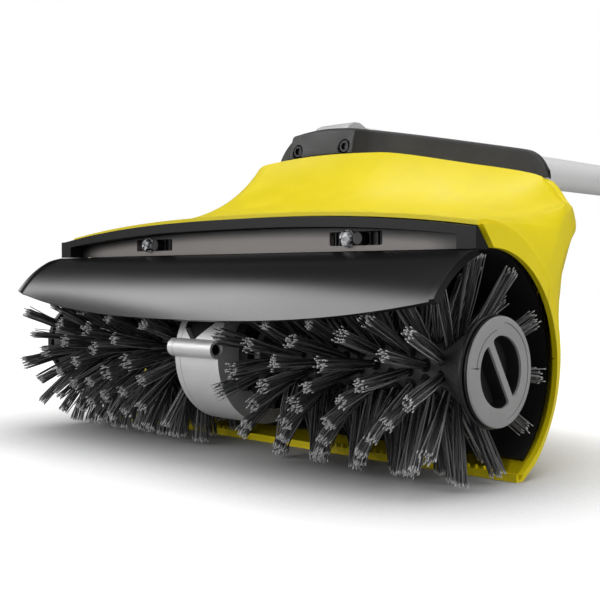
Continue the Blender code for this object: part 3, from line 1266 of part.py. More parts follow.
def build():
    remove_everything()
    yellow = material("yellow_plastic", (0.86, 0.74, 0.03), 0.42)
    black = material("black_plastic", (0.025, 0.025, 0.027), 0.50)
    satin = material("satin_black_plastic", (0.030, 0.030, 0.032), 0.30)
    bar_grey = material("grey_plastic", (0.30, 0.28, 0.27), 0.35)
    cap_grey = material("cap_plastic", (0.42, 0.42, 0.43), 0.55)
    alloy = material("cast_aluminium", (0.75, 0.76, 0.77), 0.40, 1.0)
    tube_metal = material("tube_aluminium", (0.78, 0.79, 0.81), 0.30, 1.0)
    steel = material("steel", (0.55, 0.56, 0.58), 0.35, 1.0)
    chrome = material("nozzle_metal", (0.80, 0.80, 0.82), 0.12, 1.0)
    copper = material("rotor", (0.55, 0.28, 0.12), 0.45, 1.0)
    rubber = material("rubber", (0.020, 0.020, 0.020), 0.80)
    nylon = material("bristle_nylon", (0.045, 0.045, 0.048), 0.55)
    green = material("board", (0.02, 0.20, 0.06), 0.50)

    axis = (0.0, 0.0, AXIS_HEIGHT)
    motor_axis = (0.0, MOTOR_Y, MOTOR_Z)
    middle = handle_axis()

    housing_shells(yellow)
    brush_chamber(black)
    front_frame(satin)
    nozzle_bar(bar_grey)
    nozzle("nozzle_left", -NOZZLE_X, chrome)
    nozzle("nozzle_right", NOZZLE_X, chrome)
    water_pipe(black)
    splash_guard(satin)
    top_cover(black)

    gearbox_body(alloy)
    gearbox_cover(alloy)
    screw("gearbox_screw", (0.0, BOSS_Y, BOSS_Z), "X", ARM_HALF - 0.0001, 0.026, steel, -1)
    tube("bearing_right", axis, ARM_HALF - BEARING_WIDTH, ARM_HALF, BEARING_RADIUS, SHAFT_RADIUS + FIT_GAP, steel)
    tube("bearing_left", axis, -ARM_HALF, -ARM_HALF + BEARING_WIDTH, BEARING_RADIUS, SHAFT_RADIUS + FIT_GAP, steel)
    rod("brush_shaft", axis, -SHAFT_HALF_LENGTH, SHAFT_HALF_LENGTH, SHAFT_RADIUS, steel)
    tube("driven_pulley", axis, -PULLEY_HALF, PULLEY_HALF, DRIVEN_PULLEY_RADIUS, SHAFT_RADIUS + FIT_GAP, black, "X", 24)
    drive_belt(rubber)
    drive_dog("drive_dog_left", -1, black)
    drive_dog("drive_dog_right", 1, black)
    motor_parts(steel, copper, black)

    for label, side in (("left", -1), ("right", 1)):
        bristle_roller("roller_" + label, side, nylon)
        end_cap("end_cap_" + label, side, cap_grey)
        screw("cover_screw_" + label, (side * COVER_SCREW_X, 0.0, COVER_SCREW_Z), "Y", SCREW_SEAT_Y - 0.0027,
              COVER_SCREW_LENGTH, steel)

    hose_coupling(black)
    flow_knob(black)
    valve_body(black)
    control_board(green)

    rod("hinge_pin", (0.0, HINGE_Y, HINGE_Z), -HINGE_PIN_HALF, HINGE_PIN_HALF, HINGE_PIN_RADIUS, steel)
    handle_knuckle(black)
    tube("lower_tube", middle, TUBE_START + FIT_GAP, TUBE_END, TUBE_RADIUS, TUBE_RADIUS - TUBE_WALL, tube_metal,
         "Y", ROUND_SIDES)
    tube("upper_tube", middle, UPPER_TUBE_START, UPPER_TUBE_END, UPPER_TUBE_RADIUS,
         UPPER_TUBE_RADIUS - UPPER_TUBE_WALL, tube_metal, "Y", ROUND_SIDES)
    clamp_collar(black)
    clamp_lever(black)
    rod("lever_pin", (LEVER_PIVOT_X, LEVER_PIVOT_Y, HINGE_Z), -LEVER_HALF_HEIGHT - 0.0024, LEVER_HALF_HEIGHT + 0.0024,
        LEVER_PIN_RADIUS, steel, "Z", 12)
    grip_half("grip_left", -1, black)
    grip_half("grip_right", 1, black)
    trigger(yellow)
    rod("trigger_pin", (0.0, TRIGGER_PIVOT_Y, TRIGGER_PIVOT_Z), -TRIGGER_PIN_HALF, TRIGGER_PIN_HALF,
        TRIGGER_PIN_RADIUS, steel, "X", 12)
    rod("lock_button", (0.0, BUTTON_Y, HINGE_Z), BUTTON_LOW, BUTTON_HIGH, BUTTON_RADIUS, yellow, "Z", 12)
    for label, y in zip(("front", "rear"), GRIP_SCREWS):
        screw("grip_screw_" + label, (0.0, y, GRIP_SCREW_Z), "X", GRIP_SCREW_SEAT + 0.0027,
              GRIP_SCREW_SEAT + GRIP_SCREW_REACH, steel, -1)
    turned("cable_gland", [(GRIP_END - GLAND_DEPTH + FIT_GAP, 0.0), (GRIP_END - GLAND_DEPTH + FIT_GAP, GLAND_RADIUS),
                           (GRIP_END + 0.006, GLAND_RADIUS), (GRIP_END + 0.020, GLAND_RADIUS * 0.62),
                           (GRIP_END + 0.020, 0.0)], middle, rubber, "Y")

    spins = ["brush_shaft", "driven_pulley", "drive_dog_left", "drive_dog_right", "roller_left", "roller_right",
             "end_cap_left", "end_cap_right"]
    for name in spins:
        set_axis(name, axis)
    for name in ("motor_rotor", "motor_pulley", "cooling_fan"):
        set_axis(name, motor_axis)
    for name in ("handle_knuckle", "lower_tube", "clamp_collar", "lever_pin", "upper_tube", "grip_left", "grip_right",
                 "trigger_pin", "grip_screw_front", "grip_screw_rear", "cable_gland"):
        set_axis(name, (0.0, HINGE_Y, HINGE_Z))
    set_axis("clamp_lever", (LEVER_PIVOT_X, LEVER_PIVOT_Y, HINGE_Z))
    set_axis("trigger", (0.0, TRIGGER_PIVOT_Y, TRIGGER_PIVOT_Z))
    set_axis("lock_button", (0.0, BUTTON_Y, HINGE_Z))
    set_axis("flow_knob", (-KNOB_X, PAD_FACE_Y, VALVE_Z))

    datum = bpy.data.objects.new("foot_datum", None)
    datum.location = (0.0, -FOOT_MID_Y, 0.0)
    bpy.context.scene.collection.objects.link(datum)
    for obj in list(bpy.data.objects):
        if obj is not datum:
            obj.parent = datum
    bpy.context.view_layer.update()


if __name__ == "__main__":
    build()
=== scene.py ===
"""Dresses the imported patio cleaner: finer shapes over its solids, finishes for every piece, and the stage.

Shapes are worked out in metres from the rollers' axis in Y and from the floor in Z, as the solids are,
and every mesh is then moved to the middle of the foot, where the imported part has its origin.
"""

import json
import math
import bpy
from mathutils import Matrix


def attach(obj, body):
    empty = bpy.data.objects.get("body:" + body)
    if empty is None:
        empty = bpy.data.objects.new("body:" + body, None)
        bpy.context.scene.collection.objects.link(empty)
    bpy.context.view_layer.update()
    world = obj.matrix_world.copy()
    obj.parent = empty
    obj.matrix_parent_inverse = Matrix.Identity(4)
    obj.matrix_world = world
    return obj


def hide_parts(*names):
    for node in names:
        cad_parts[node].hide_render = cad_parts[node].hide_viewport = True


bl_info = {
    "name": "Patio cleaner",
    "version": (1, 0, 0),
    "blender": (4, 5, 0),
    "location": "3D View > Sidebar > Patio cleaner",
    "description": "Builds the visible shapes and finishes of a roller brush patio cleaner",
    "category": "Object",
}

import bmesh
import bpy
from bpy.props import FloatProperty, FloatVectorProperty, IntProperty, PointerProperty
from mathutils import Matrix, Vector

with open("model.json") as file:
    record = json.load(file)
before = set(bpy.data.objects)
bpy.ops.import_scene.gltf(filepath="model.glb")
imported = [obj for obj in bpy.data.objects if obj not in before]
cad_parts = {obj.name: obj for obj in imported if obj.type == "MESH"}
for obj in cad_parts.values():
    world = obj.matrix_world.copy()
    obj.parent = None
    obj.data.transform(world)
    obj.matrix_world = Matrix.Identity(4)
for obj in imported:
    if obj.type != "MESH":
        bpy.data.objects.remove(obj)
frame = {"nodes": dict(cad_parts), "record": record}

# The solids' own sizes, in metres
TO_FOOT = -0.0300
FIT_GAP = 0.0003
RUN_GAP = 0.0006
AXIS_Z = 0.0545
HALF_WIDTH = 0.1600
CORE_START = 0.0275
CORE_END = 0.1610
CORE_STEP = 0.0040
FLARE_LENGTH = 0.0220
FLARE_RADIUS = 0.0240
SHAFT_RADIUS = 0.0060
SHAFT_HALF_LENGTH = 0.0600
TUFT_START = 0.0350
TUFT_END = 0.1440
DOG_RADIUS = 0.0240
DOG_LUG_RADIUS = 0.0290
DOG_LUGS = 6
DOG_LUG_WIDTH = 0.0080
DOG_THICKNESS = 0.0070
CAP_RADIUS = 0.0255
CAP_FACE = 0.1670
CAP_FACE_DEPTH = 0.0028
CAP_FLANGE_RADIUS = 0.0262
CAP_FLANGE_DEPTH = 0.0022
CAP_PLUG_RADIUS = 0.0085
CAP_PLUG_LENGTH = 0.0140
CAP_CUP_RADIUS = 0.0180
CAP_CUP_DEPTH = 0.0031
GRIP_DEPTH = 0.0075
OPENING_RADIUS = 0.0560
RIM_Y = -0.0090
RIM_Z_MID = 0.1315
RIM_Z_END = 0.1226
RIM_HEIGHT = 0.0021
RIM_ARCH = 2.5
FOOT_FRONT = 0.0240
OPENING_FRONT = 0.0000
SPLIT_Z = 0.0570
SEAM_Y = 0.1205
SIDE_ARC_Y = -0.0040
SIDE_ARC_Z = 0.0575
SIDE_ARC_RADIUS_Y = 0.0680
SIDE_ARC_RADIUS_Z = 0.0660
NOSE_Y = 0.0580
NOSE_Z = 0.1700
DECK_DROP = 0.0060
DECK_SLOPE = 0.15
REAR_Y = 0.1500
CHEEK_WALL = 0.0035
CHAMBER_INNER = 0.0566
CHAMBER_WALL = 0.0020
CHAMBER_FOOT_ANGLE = math.radians(-52.0)
FRAME_FRONT = -0.0160
FRAME_BACK = -0.0020
FRAME_HALF = 0.1640
FRAME_END_BACK = -0.0059
FRAME_BOTTOM = 0.1098
WINDOW_TOP_MID = 0.1235
WINDOW_TOP_END = 0.1157
WINDOW_HALF = 0.1535
BAR_FRONT = -0.0065
BAR_BACK = -0.0030
NOZZLE_X = 0.0812
NOZZLE_Z = 0.1164
NOZZLE_RADIUS = 0.0045
NOZZLE_FRONT = -0.0105
NOZZLE_STEM_RADIUS = 0.0028
SLOT_LEFT = 0.0130
SLOT_RIGHT = 0.0218
SLOT_HEIGHT = 0.0070
GUARD_HALF = 0.1650
GUARD_TOP_RADIUS = 0.0571
GUARD_TOP_ANGLE = math.pi - math.asin((FRAME_BOTTOM - FIT_GAP - AXIS_Z) / GUARD_TOP_RADIUS)
GUARD_RIB_INSIDE = 0.0008
GUARD_LIP_Y_MID = -0.0550
GUARD_LIP_Y_END = -0.0470
GUARD_LIP_Z_MID = 0.0750
GUARD_LIP_Z_END = 0.0875
ARM_HALF = 0.0177
ARM_RADIUS = 0.0380
ARM_TOP_RADIUS = 0.0290
ARM_WALL = 0.0035
ARM_COVER = 0.0040
MOTOR_Y = 0.0780
MOTOR_Z = 0.1120
BEARING_RADIUS = 0.0130
BEARING_WIDTH = 0.0080
BOSS_RADIUS = 0.0050
BOSS_Y = -0.0385
BOSS_Z = 0.0590
COVER_TOP = 0.1865
COVER_CROWN_ROUND = 0.0300
COVER_CROWN_SLOPE = 0.2000
COVER_NOSE_HALF = 0.0245
COVER_SWEEP_FROM = 0.0330
COVER_STRAIGHT_FROM = 0.0750
COVER_RIDGE_STEP = 0.0030
COVER_RIDGE_WIDTH = 0.0070
COVER_SWEEP = 0.8500
COVER_END_START = 0.0980
COVER_WING_X = 0.1130
COVER_END_DROP = 0.0106
COVER_LEAN = 0.0030
COVER_EDGE = 0.0030
COVER_STEP = 0.0006
COVER_LIFT = 0.0009
CHANNEL_HALF = 0.0142
CHANNEL_FRONT = 0.0645
CHANNEL_FLOOR = 0.0006
COVER_FRONT = 0.0580
COVER_SCREW_X = 0.0190
COVER_SCREW_Z = 0.1742
SCREW_SEAT_Y = 0.0620
SCREW_HEAD_RADIUS = 0.0038
SCREW_HEAD_DEPTH = 0.0024
SCREW_SHANK_RADIUS = 0.0017
HINGE_Y = 0.0780
HINGE_Z = 0.1785
HINGE_PIN_RADIUS = 0.0032
HINGE_PIN_HALF = 0.0240
TUBE_RADIUS = 0.0125
TUBE_WALL = 0.0012
UPPER_TUBE_RADIUS = 0.0108
UPPER_TUBE_WALL = 0.0011
TUBE_START = 0.1000
TUBE_END = 0.5200
UPPER_TUBE_START = 0.1700
UPPER_TUBE_END = 0.6800
GRIP_SCREWS = (0.5740, 0.6600)
GRIP_SCREW_Z = HINGE_Z - 0.0146
GRIP_SCREW_SEAT = 0.0040
PAD_FACE_Y = 0.1535
PAD_ROOT_Y = 0.1455
PAD_MARGIN = 0.0150
PAD_HALF_HEIGHT = 0.0140
VALVE_Z = 0.1330
INLET_X = 0.0580
KNOB_X = 0.0800

# Details that only the visible shapes have, in metres
TONGUE_HALF = 0.0022
TONGUE_INSET = 0.0011
PAD_CORNER = 0.0060
LIP_RIB_RUNS = ((-0.150, -0.024), (0.026, 0.154))
SLOT_WEBS = (-0.0105, -0.0080, 0.0124, 0.0172, 0.0194)
SLOT_WEB_HALF = 0.0004
STUB_X = 0.0076
STUB_RADIUS = 0.0032
NOTCH_OUTLINE = ((-0.0045, 0.0622), (0.0150, 0.0762), (0.0150, 0.0960), (-0.0126, 0.0960), (-0.0126, 0.0694))
NOTCH_DEPTH = 0.0030
RECESS_CORNER = 0.0030
BOSS_SCREW_RADIUS = 0.0029
COVER_SCREW_REACH = 0.0110
BOSS_SCREW_REACH = 0.0220
GRIP_SCREW_REACH = 0.0100

# The arc grooves of a cap's face: radius, first angle and last angle in degrees
CAP_GROOVES = ((CAP_RADIUS * 0.87, -78.0, 84.0), (CAP_RADIUS * 0.76, 102.0, 172.0))

# The rollers' axis, and the two sides with their directions along it
AXIS = (0.0, 0.0, AXIS_Z)
SIDES = (("left", -1), ("right", 1))

# How finely the visible shapes are drawn
FLARE_STEPS = 20
REAR_STEPS = 7
HUMP_STATIONS = 44
CREASE = 0.0007
SHARP_ANGLE = math.radians(40.0)
SAME_POINT = 1e-6

# The angle between neighbours that spreads strands evenly over a tuft
GOLDEN_TURN = 2.39996

# Share of a screw head that its socket takes up
SOCKET_SHARE = 0.62


# Colours

def linear(hex_colour):
    """Turns an sRGB hex colour into the linear colour that a shader reads."""
    parts = [int(hex_colour[i:i + 2], 16) / 255.0 for i in (1, 3, 5)]
    return tuple(c / 12.92 if c <= 0.04045 else ((c + 0.055) / 1.055) ** 2.4 for c in parts) + (1.0,)


# Settings that a user would change

COLOUR = {"subtype": "COLOR", "size": 4, "min": 0.0, "max": 1.0}
POWER = {"min": 0.0, "max": 200.0}


class PatioColours(bpy.types.PropertyGroup):
    yellow: FloatVectorProperty(name="Housing yellow", description="Colour of the three housing shells",
        default=linear("#F6E10A"), **COLOUR)
    cover: FloatVectorProperty(name="Cover black", description="Colour of the grained top cover",
        default=linear("#303031"), **COLOUR)
    satin: FloatVectorProperty(name="Satin black", description="Colour of the frame and the splash guard",
        default=linear("#1B1B1C"), **COLOUR)
    bar: FloatVectorProperty(name="Bar grey", description="Colour of the bar that holds the nozzles",
        default=linear("#8F8986"), **COLOUR)
    cap: FloatVectorProperty(name="Cap grey", description="Colour of the end caps' faces",
        default=linear("#9C9C9C"), **COLOUR)
    alloy: FloatVectorProperty(name="Cast alloy", description="Colour of the cast arm between the rollers",
        default=linear("#EDEDEE"), **COLOUR)
    bristle: FloatVectorProperty(name="Bristle", description="Colour of the nylon strands along their length",
        default=linear("#242425"), **COLOUR)
    bristle_tip: FloatVectorProperty(name="Bristle tip", description="Colour of the strands' cut tips",
        default=linear("#D0D0D0"), **COLOUR)


class PatioHousing(bpy.types.PropertyGroup):
    wall: FloatProperty(name="Wall", description="Thickness of the housing's shells",
        unit="LENGTH", default=0.0028, min=0.001, max=0.004)
    seam: FloatProperty(name="Seam", description="Gap between two shells at a seam",
        unit="LENGTH", default=0.0006, min=0.0, max=0.002)
    edge: FloatProperty(name="Edge radius", description="Rounding of the shells' edges",
        unit="LENGTH", default=0.0006, min=0.0, max=0.002)
    rib_pitch: FloatProperty(name="Rib pitch", description="Distance between the ribs on the foot's lip",
        unit="LENGTH", default=0.0046, min=0.002, max=0.02)
    rib_width: FloatProperty(name="Rib width", description="Width of a rib on the foot's front lip",
        unit="LENGTH", default=0.0014, min=0.0005, max=0.004)


class PatioRoller(bpy.types.PropertyGroup):
    brush_radius: FloatProperty(name="Brush radius", description="Distance from the axis to the bristle tips",
        unit="LENGTH", default=0.0540, min=0.03, max=0.0545)
    core_radius: FloatProperty(name="Core radius", description="Radius of the moulded core between its ends",
        unit="LENGTH", default=0.0130, min=0.008, max=0.02)
    rows: IntProperty(name="Rows", description="Rings of tufts along one roller", default=12, min=2, max=16)
    tufts: IntProperty(name="Tufts", description="Tufts in one ring", default=11, min=3, max=16)
    strands: IntProperty(name="Strands", description="Strands in one tuft", default=28, min=5, max=60)
    strand_radius: FloatProperty(name="Strand radius", description="Radius of one nylon strand",
        unit="LENGTH", default=0.00033, min=0.0001, max=0.001)
    root_spread: FloatProperty(name="Root spread", description="Radius of a tuft where it leaves the core",
        unit="LENGTH", default=0.0019, min=0.001, max=0.005)
    tip_spread: FloatProperty(name="Tip spread", description="Radius of a tuft at its tips",
        unit="LENGTH", default=0.0037, min=0.001, max=0.01)
    twist: FloatProperty(name="Twist", description="Turn from one ring of tufts to the next",
        subtype="ANGLE", default=math.radians(4.0), min=0.0, max=1.0)
    seed: IntProperty(name="Seed", description="Seed of the strands' small differences", default=4, min=0)


class PatioFront(bpy.types.PropertyGroup):
    guard_wall: FloatProperty(name="Guard wall", description="Thickness of the splash guard",
        unit="LENGTH", default=0.0020, min=0.001, max=0.004)
    guard_rib: FloatProperty(name="Guard end rib", description="Extra thickness at the guard's two ends",
        unit="LENGTH", default=0.0012, min=0.0, max=0.004)
    frame_edge: FloatProperty(name="Frame edge", description="Rounding of the black frame's edges",
        unit="LENGTH", default=0.0009, min=0.0, max=0.002)


class PatioCap(bpy.types.PropertyGroup):
    plate: FloatProperty(name="Face plate", description="Thickness of the grey plate on the cap",
        unit="LENGTH", default=0.0013, min=0.0005, max=0.003)
    grip_circle: FloatProperty(name="Finger recess", description="Radius of the circle of both recesses",
        unit="LENGTH", default=0.0165, min=0.01, max=0.02)
    grip_bar: FloatProperty(name="Grip bar", description="Width of the bar between the recesses",
        unit="LENGTH", default=0.0038, min=0.002, max=0.008)
    tilt: FloatProperty(name="Bar tilt", description="Lean of the grip bar",
        subtype="ANGLE", default=math.radians(32.0), min=0.0, max=3.2)
    groove: FloatProperty(name="Groove", description="Width of the arc grooves in the face",
        unit="LENGTH", default=0.0006, min=0.0002, max=0.002)


class PatioStage(bpy.types.PropertyGroup):
    key: FloatProperty(name="Key light", description="Power of the large front light in watts",
        default=10.0, **POWER)
    top: FloatProperty(name="Top light", description="Power of the overhead light in watts",
        default=8.0, **POWER)
    side: FloatProperty(name="Side light", description="Power of the light on the right in watts",
        default=4.0, **POWER)
    gleam: FloatProperty(name="Gleam card", description="Power of the card that only gloss shows",
        default=8.0, **POWER)
    ambient: FloatProperty(name="Ambient", description="Strength of the studio's surroundings",
        default=0.55, min=0.0, max=2.0)


# Points and outlines

def lerp(a, b, share):
    return a + (b - a) * share


def bezier(p0, p1, p2, p3, steps):
    points = []
    for k in range(steps + 1):
        t = k / steps
        s = 1.0 - t
        points.append(tuple(s ** 3 * a + 3 * s * s * t * b + 3 * s * t * t * c + t ** 3 * d
                            for a, b, c, d in zip(p0, p1, p2, p3)))
    return points


def smooth_through(points, steps):
    """Points on a smooth curve through the given points, without the first one."""
    ends = [points[0]] + list(points) + [points[-1]]
    result = []
    for i in range(1, len(ends) - 2):
        p0, p1, p2, p3 = ends[i - 1:i + 3]
        for k in range(1, steps + 1):
            t = k / steps
            result.append(tuple(
                0.5 * (2 * b + (c - a) * t + (2 * a - 5 * b + 4 * c - d) * t * t
                       + (3 * b - a - 3 * c + d) * t ** 3)
                for a, b, c, d in zip(p0, p1, p2, p3)))
    return result


def blend_between(table, x):
    """Reads a table of (x, values) at x with a curve that never overshoots."""
    places = [row[0] for row in table]
    x = min(max(x, places[0]), places[-1])
    i = max(k for k in range(len(places) - 1) if places[k] <= x)
    width = places[i + 1] - places[i]
    t = (x - places[i]) / width

    def slope(k, c):
        if k == 0 or k == len(places) - 1:
            return 0.0
        before = (table[k][1][c] - table[k - 1][1][c]) / (places[k] - places[k - 1])
        after = (table[k + 1][1][c] - table[k][1][c]) / (places[k + 1] - places[k])
        if before * after <= 0.0:
            return 0.0
        return 2.0 * before * after / (before + after)

    values = []
    for c in range(len(table[0][1])):
        a, b = table[i][1][c], table[i + 1][1][c]
        m0 = slope(i, c)
        m1 = slope(i + 1, c)
        if i == len(places) - 2:
            m1 = (b - a) / width
        h00 = 2 * t ** 3 - 3 * t * t + 1
        h10 = t ** 3 - 2 * t * t + t
        h01 = -2 * t ** 3 + 3 * t * t
        h11 = t ** 3 - t * t
        values.append(h00 * a + h10 * width * m0 + h01 * b + h11 * width * m1)
    return values


def arc(centre, radius, start, end, steps):
    points = []
    for k in range(steps + 1):
        angle = start + (end - start) * k / steps
        points.append((centre[0] + radius * math.cos(angle), centre[1] + radius * math.sin(angle)))
    return points


def belt_outline(first, first_radius, second, second_radius, steps=24):
    """The outline of a belt round two circles, which also gives the arm's rounded shape."""
    dy, dz = second[0] - first[0], second[1] - first[1]
    distance = math.hypot(dy, dz)
    heading = math.atan2(dz, dy)
    lean = math.acos((first_radius - second_radius) / distance)
    return (arc(first, first_radius, heading + lean, heading + 2.0 * math.pi - lean, steps * 2)
            + arc(second, second_radius, heading - lean, heading + lean, steps))


def rounded_corners(outline, radius, steps=4):
    """Rounds each corner of a closed outline with an arc that starts and ends radius away from it."""
    result = []
    count = len(outline)
    for i in range(count):
        corner = Vector(outline[i])
        before = Vector(outline[i - 1]) - corner
        after = Vector(outline[(i + 1) % count]) - corner
        reach = min(radius, before.length * 0.45, after.length * 0.45)
        start = corner + before.normalized() * reach
        end = corner + after.normalized() * reach
        for k in range(steps + 1):
            t = k / steps
            result.append(tuple(start * (1 - t) ** 2 + corner * 2 * t * (1 - t) + end * t * t))
    return result


# Meshes

def in_scene(name, data):
    """A new object in the scene for a mesh, a light or a camera."""
    obj = bpy.data.objects.new(name, data)
    bpy.context.scene.collection.objects.link(obj)
    return obj


def mesh_of(name, bm, mats=()):
    """Writes worked points and faces to a new mesh, and frees them."""
    mesh = bpy.data.meshes.new(name)
    bm.to_mesh(mesh)
    bm.free()
    for mat in mats:
        mesh.materials.append(mat)
    return mesh


def turn_outwards(bm):
    if bm.calc_volume(signed=True) < 0.0:
        bmesh.ops.reverse_faces(bm, faces=bm.faces)


def new_piece(name, verts, faces, mats):
    """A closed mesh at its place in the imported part's frame, with its faces outwards."""
    mesh = bpy.data.meshes.new(name)
    mesh.from_pydata([(p[0], p[1] + TO_FOOT, p[2]) for p in verts], [], faces)
    mesh.validate()
    bm = bmesh.new()
    bm.from_mesh(mesh)
    bmesh.ops.remove_doubles(bm, verts=bm.verts, dist=SAME_POINT)
    bmesh.ops.recalc_face_normals(bm, faces=bm.faces)
    turn_outwards(bm)
    bm.to_mesh(mesh)
    bm.free()
    for mat in mats:
        mesh.materials.append(mat)
    return in_scene(name, mesh)


def bake_modifiers(obj):
    """Replaces an object's mesh by what its modifiers make of it."""
    bpy.context.view_layer.update()
    graph = bpy.context.evaluated_depsgraph_get()
    mesh = bpy.data.meshes.new_from_object(obj.evaluated_get(graph))
    obj.modifiers.clear()
    old = obj.data
    obj.data = mesh
    bpy.data.meshes.remove(old)
    mesh.name = obj.name
    return obj


def combine(target, others, operation):
    for other in others:
        step = target.modifiers.new("combine", "BOOLEAN")
        step.operation = operation
        step.solver = "EXACT"
        step.object = other
        bake_modifiers(target)
        bpy.data.objects.remove(other, do_unlink=True)
    bm = bmesh.new()
    bm.from_mesh(target.data)
    bmesh.ops.remove_doubles(bm, verts=bm.verts, dist=SAME_POINT)
    bmesh.ops.dissolve_degenerate(bm, edges=bm.edges, dist=SAME_POINT)
    turn_outwards(bm)
    bm.to_mesh(target.data)
    bm.free()
    return target


def carve(target, *cutters):
    return combine(target, cutters, "DIFFERENCE")


def weld(target, *others):
    return combine(target, others, "UNION")


def soften(obj, width, segments=2, angle=SHARP_ANGLE):
    """Rounds an object's edges and shades it smooth, with flat faces kept flat."""
    obj.data.shade_smooth()
    if width > 0.0:
        step = obj.modifiers.new("edges", "BEVEL")
        step.limit_method = "ANGLE"
        step.angle_limit = angle
        step.width = width
        step.segments = segments
        step.use_clamp_overlap = True
        step.harden_normals = True
        bake_modifiers(obj)
    return obj


def smooth(obj, angle=SHARP_ANGLE):
    obj.data.shade_smooth()
    obj.data.set_sharp_from_angle(angle=angle)
    return obj


def gather(name, objects):
    """Joins several meshes into one object, each part with its own material."""
    bm = bmesh.new()
    mats = []
    for obj in objects:
        part = bmesh.new()
        part.from_mesh(obj.data)
        lookup = []
        for mat in obj.data.materials:
            if mat not in mats:
                mats.append(mat)
            lookup.append(mats.index(mat))
        for face in part.faces:
            face.material_index = lookup[face.material_index] if lookup else 0
        kept = mesh_of("kept", part)
        bm.from_mesh(kept)
        bpy.data.meshes.remove(kept)
    joined = in_scene(name, mesh_of(name, bm, mats))
    for obj in objects:
        bpy.data.objects.remove(obj, do_unlink=True)
    return joined


def loft(name, rings, mats):
    """A closed solid through rings that hold the same number of points."""
    count = len(rings[0])
    verts = [p for ring in rings for p in ring]
    faces = []
    for i in range(len(rings) - 1):
        for j in range(count):
            a = i * count + j
            b = i * count + (j + 1) % count
            faces.append((a, b, b + count, a + count))
    faces.append(tuple(range(count)))
    faces.append(tuple(range((len(rings) - 1) * count, len(rings) * count)))
    return new_piece(name, verts, faces, mats)


def along(axis, centre, a, u, v):
    """The point a along an axis through centre, with u and v across it."""
    x, y, z = centre
    if axis == "X":
        return (x + a, y + u, z + v)
    if axis == "Y":
        return (x + u, y + a, z + v)
    return (x + u, y + v, z + a)


def turned(name, profile, centre, mats, axis="X", sides=64):
    """Turns a closed profile of (distance along the axis, radius) about an axis through centre."""
    verts = []
    for k in range(sides):
        angle = 2.0 * math.pi * (k + 0.5) / sides
        c, s = math.cos(angle), math.sin(angle)
        verts += [along(axis, centre, a, r * c, r * s) for a, r in profile]
    count = len(profile)
    faces = []
    for k in range(sides):
        n = (k + 1) % sides
        for j in range(count):
            m = (j + 1) % count
            if profile[j][1] < 1e-9 and profile[m][1] < 1e-9:
                continue
            quad = (k * count + j, k * count + m, n * count + m, n * count + j)
            if profile[j][1] < 1e-9:
                quad = (quad[0], quad[1], quad[2])
            elif profile[m][1] < 1e-9:
                quad = (quad[0], quad[1], quad[3])
            faces.append(quad)
    return new_piece(name, verts, faces, mats)


def rod(name, centre, start, end, radius, mats, axis="X", sides=48):
    return turned(name, [(start, 0.0), (end, 0.0), (end, radius), (start, radius)], centre, mats, axis, sides)


def tube(name, centre, start, end, radius, bore, mats, axis="X", sides=64):
    profile = [(start, bore), (end, bore), (end, radius), (start, radius)]
    return turned(name, profile, centre, mats, axis, sides)


def block(name, low, high, mats):
    corners = [(x, y, z) for x in (low[0], high[0]) for y in (low[1], high[1]) for z in (low[2], high[2])]
    faces = [(0, 1, 3, 2), (4, 6, 7, 5), (0, 4, 5, 1), (2, 3, 7, 6), (0, 2, 6, 4), (1, 5, 7, 3)]
    return new_piece(name, corners, faces, mats)


def prism(name, outline, low, high, mats, axis="X"):
    """Extrudes an outline, given across the axis, from low to high along it."""
    rings = [[along(axis, (0, 0, 0), a, u, v) for u, v in outline] for a in (low, high)]
    return loft(name, rings, mats)


def dress(obj, body, slot, *nodes):
    """Makes a finished piece ride on its body and stand for the nodes that it replaces."""
    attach(obj, body)
    if nodes:
        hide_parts(*nodes)
    return obj


# Materials

WHITE = (1.0, 1.0, 1.0, 1.0)
SMOOTH_STEP = {"interpolation_type": "SMOOTHSTEP"}

# The kinds of node that come most often
SEPARATE = "ShaderNodeSeparateXYZ"
MATH = "ShaderNodeMath"
MIX = "ShaderNodeMix"
MAP_RANGE = "ShaderNodeMapRange"
NOISE = "ShaderNodeTexNoise"
BUMP = "ShaderNodeBump"
COMBINE = "ShaderNodeCombineXYZ"
AIM = "FunctionNodeAlignRotationToVector"
INSTANCES = "GeometryNodeInstanceOnPoints"

# The made materials by their short names
MATERIALS = {}


def feed(node, inputs):
    """Gives inputs, by name or in order, a value or a link from a socket or a node's first output."""
    for key, value in inputs.items() if isinstance(inputs, dict) else enumerate(inputs):
        if isinstance(value, bpy.types.Node):
            value = value.outputs[0]
        if isinstance(value, bpy.types.NodeSocket):
            node.id_data.links.new(value, node.inputs[key])
        else:
            node.inputs[key].default_value = value


def add(tree, kind, inputs=(), **settings):
    """Adds a node with its settings, and feeds its inputs."""
    node = tree.nodes.new(kind)
    for key, value in settings.items():
        setattr(node, key, value)
    feed(node, inputs)
    return node


def start_material(name, colour, roughness, metallic=0.0):
    """A new material with its one shader, and the point that its patterns are measured from."""
    mat = bpy.data.materials.new(name)
    mat.use_nodes = True
    tree = mat.node_tree
    shader = tree.nodes["Principled BSDF"]
    feed(shader, {"Base Color": colour, "Roughness": roughness, "Metallic": metallic})
    mat.diffuse_color = colour
    return mat, tree, shader, add(tree, "ShaderNodeTexCoord").outputs["Object"]


def opened(mat):
    """A finished material's tree and shader, what feeds its colour, and a point's distances aside and up."""
    tree = mat.node_tree
    shader = tree.nodes["Principled BSDF"]
    plain = shader.inputs["Base Color"].links[0].from_socket
    axes = add(tree, SEPARATE, [add(tree, "ShaderNodeTexCoord").outputs["Object"]])
    beside = add(tree, MATH, [axes], operation="ABSOLUTE")
    return tree, shader, plain, beside, axes.outputs[2]


def shade_of(colour, factor):
    return tuple(min(1.0, c * factor) for c in colour[:3]) + (1.0,)


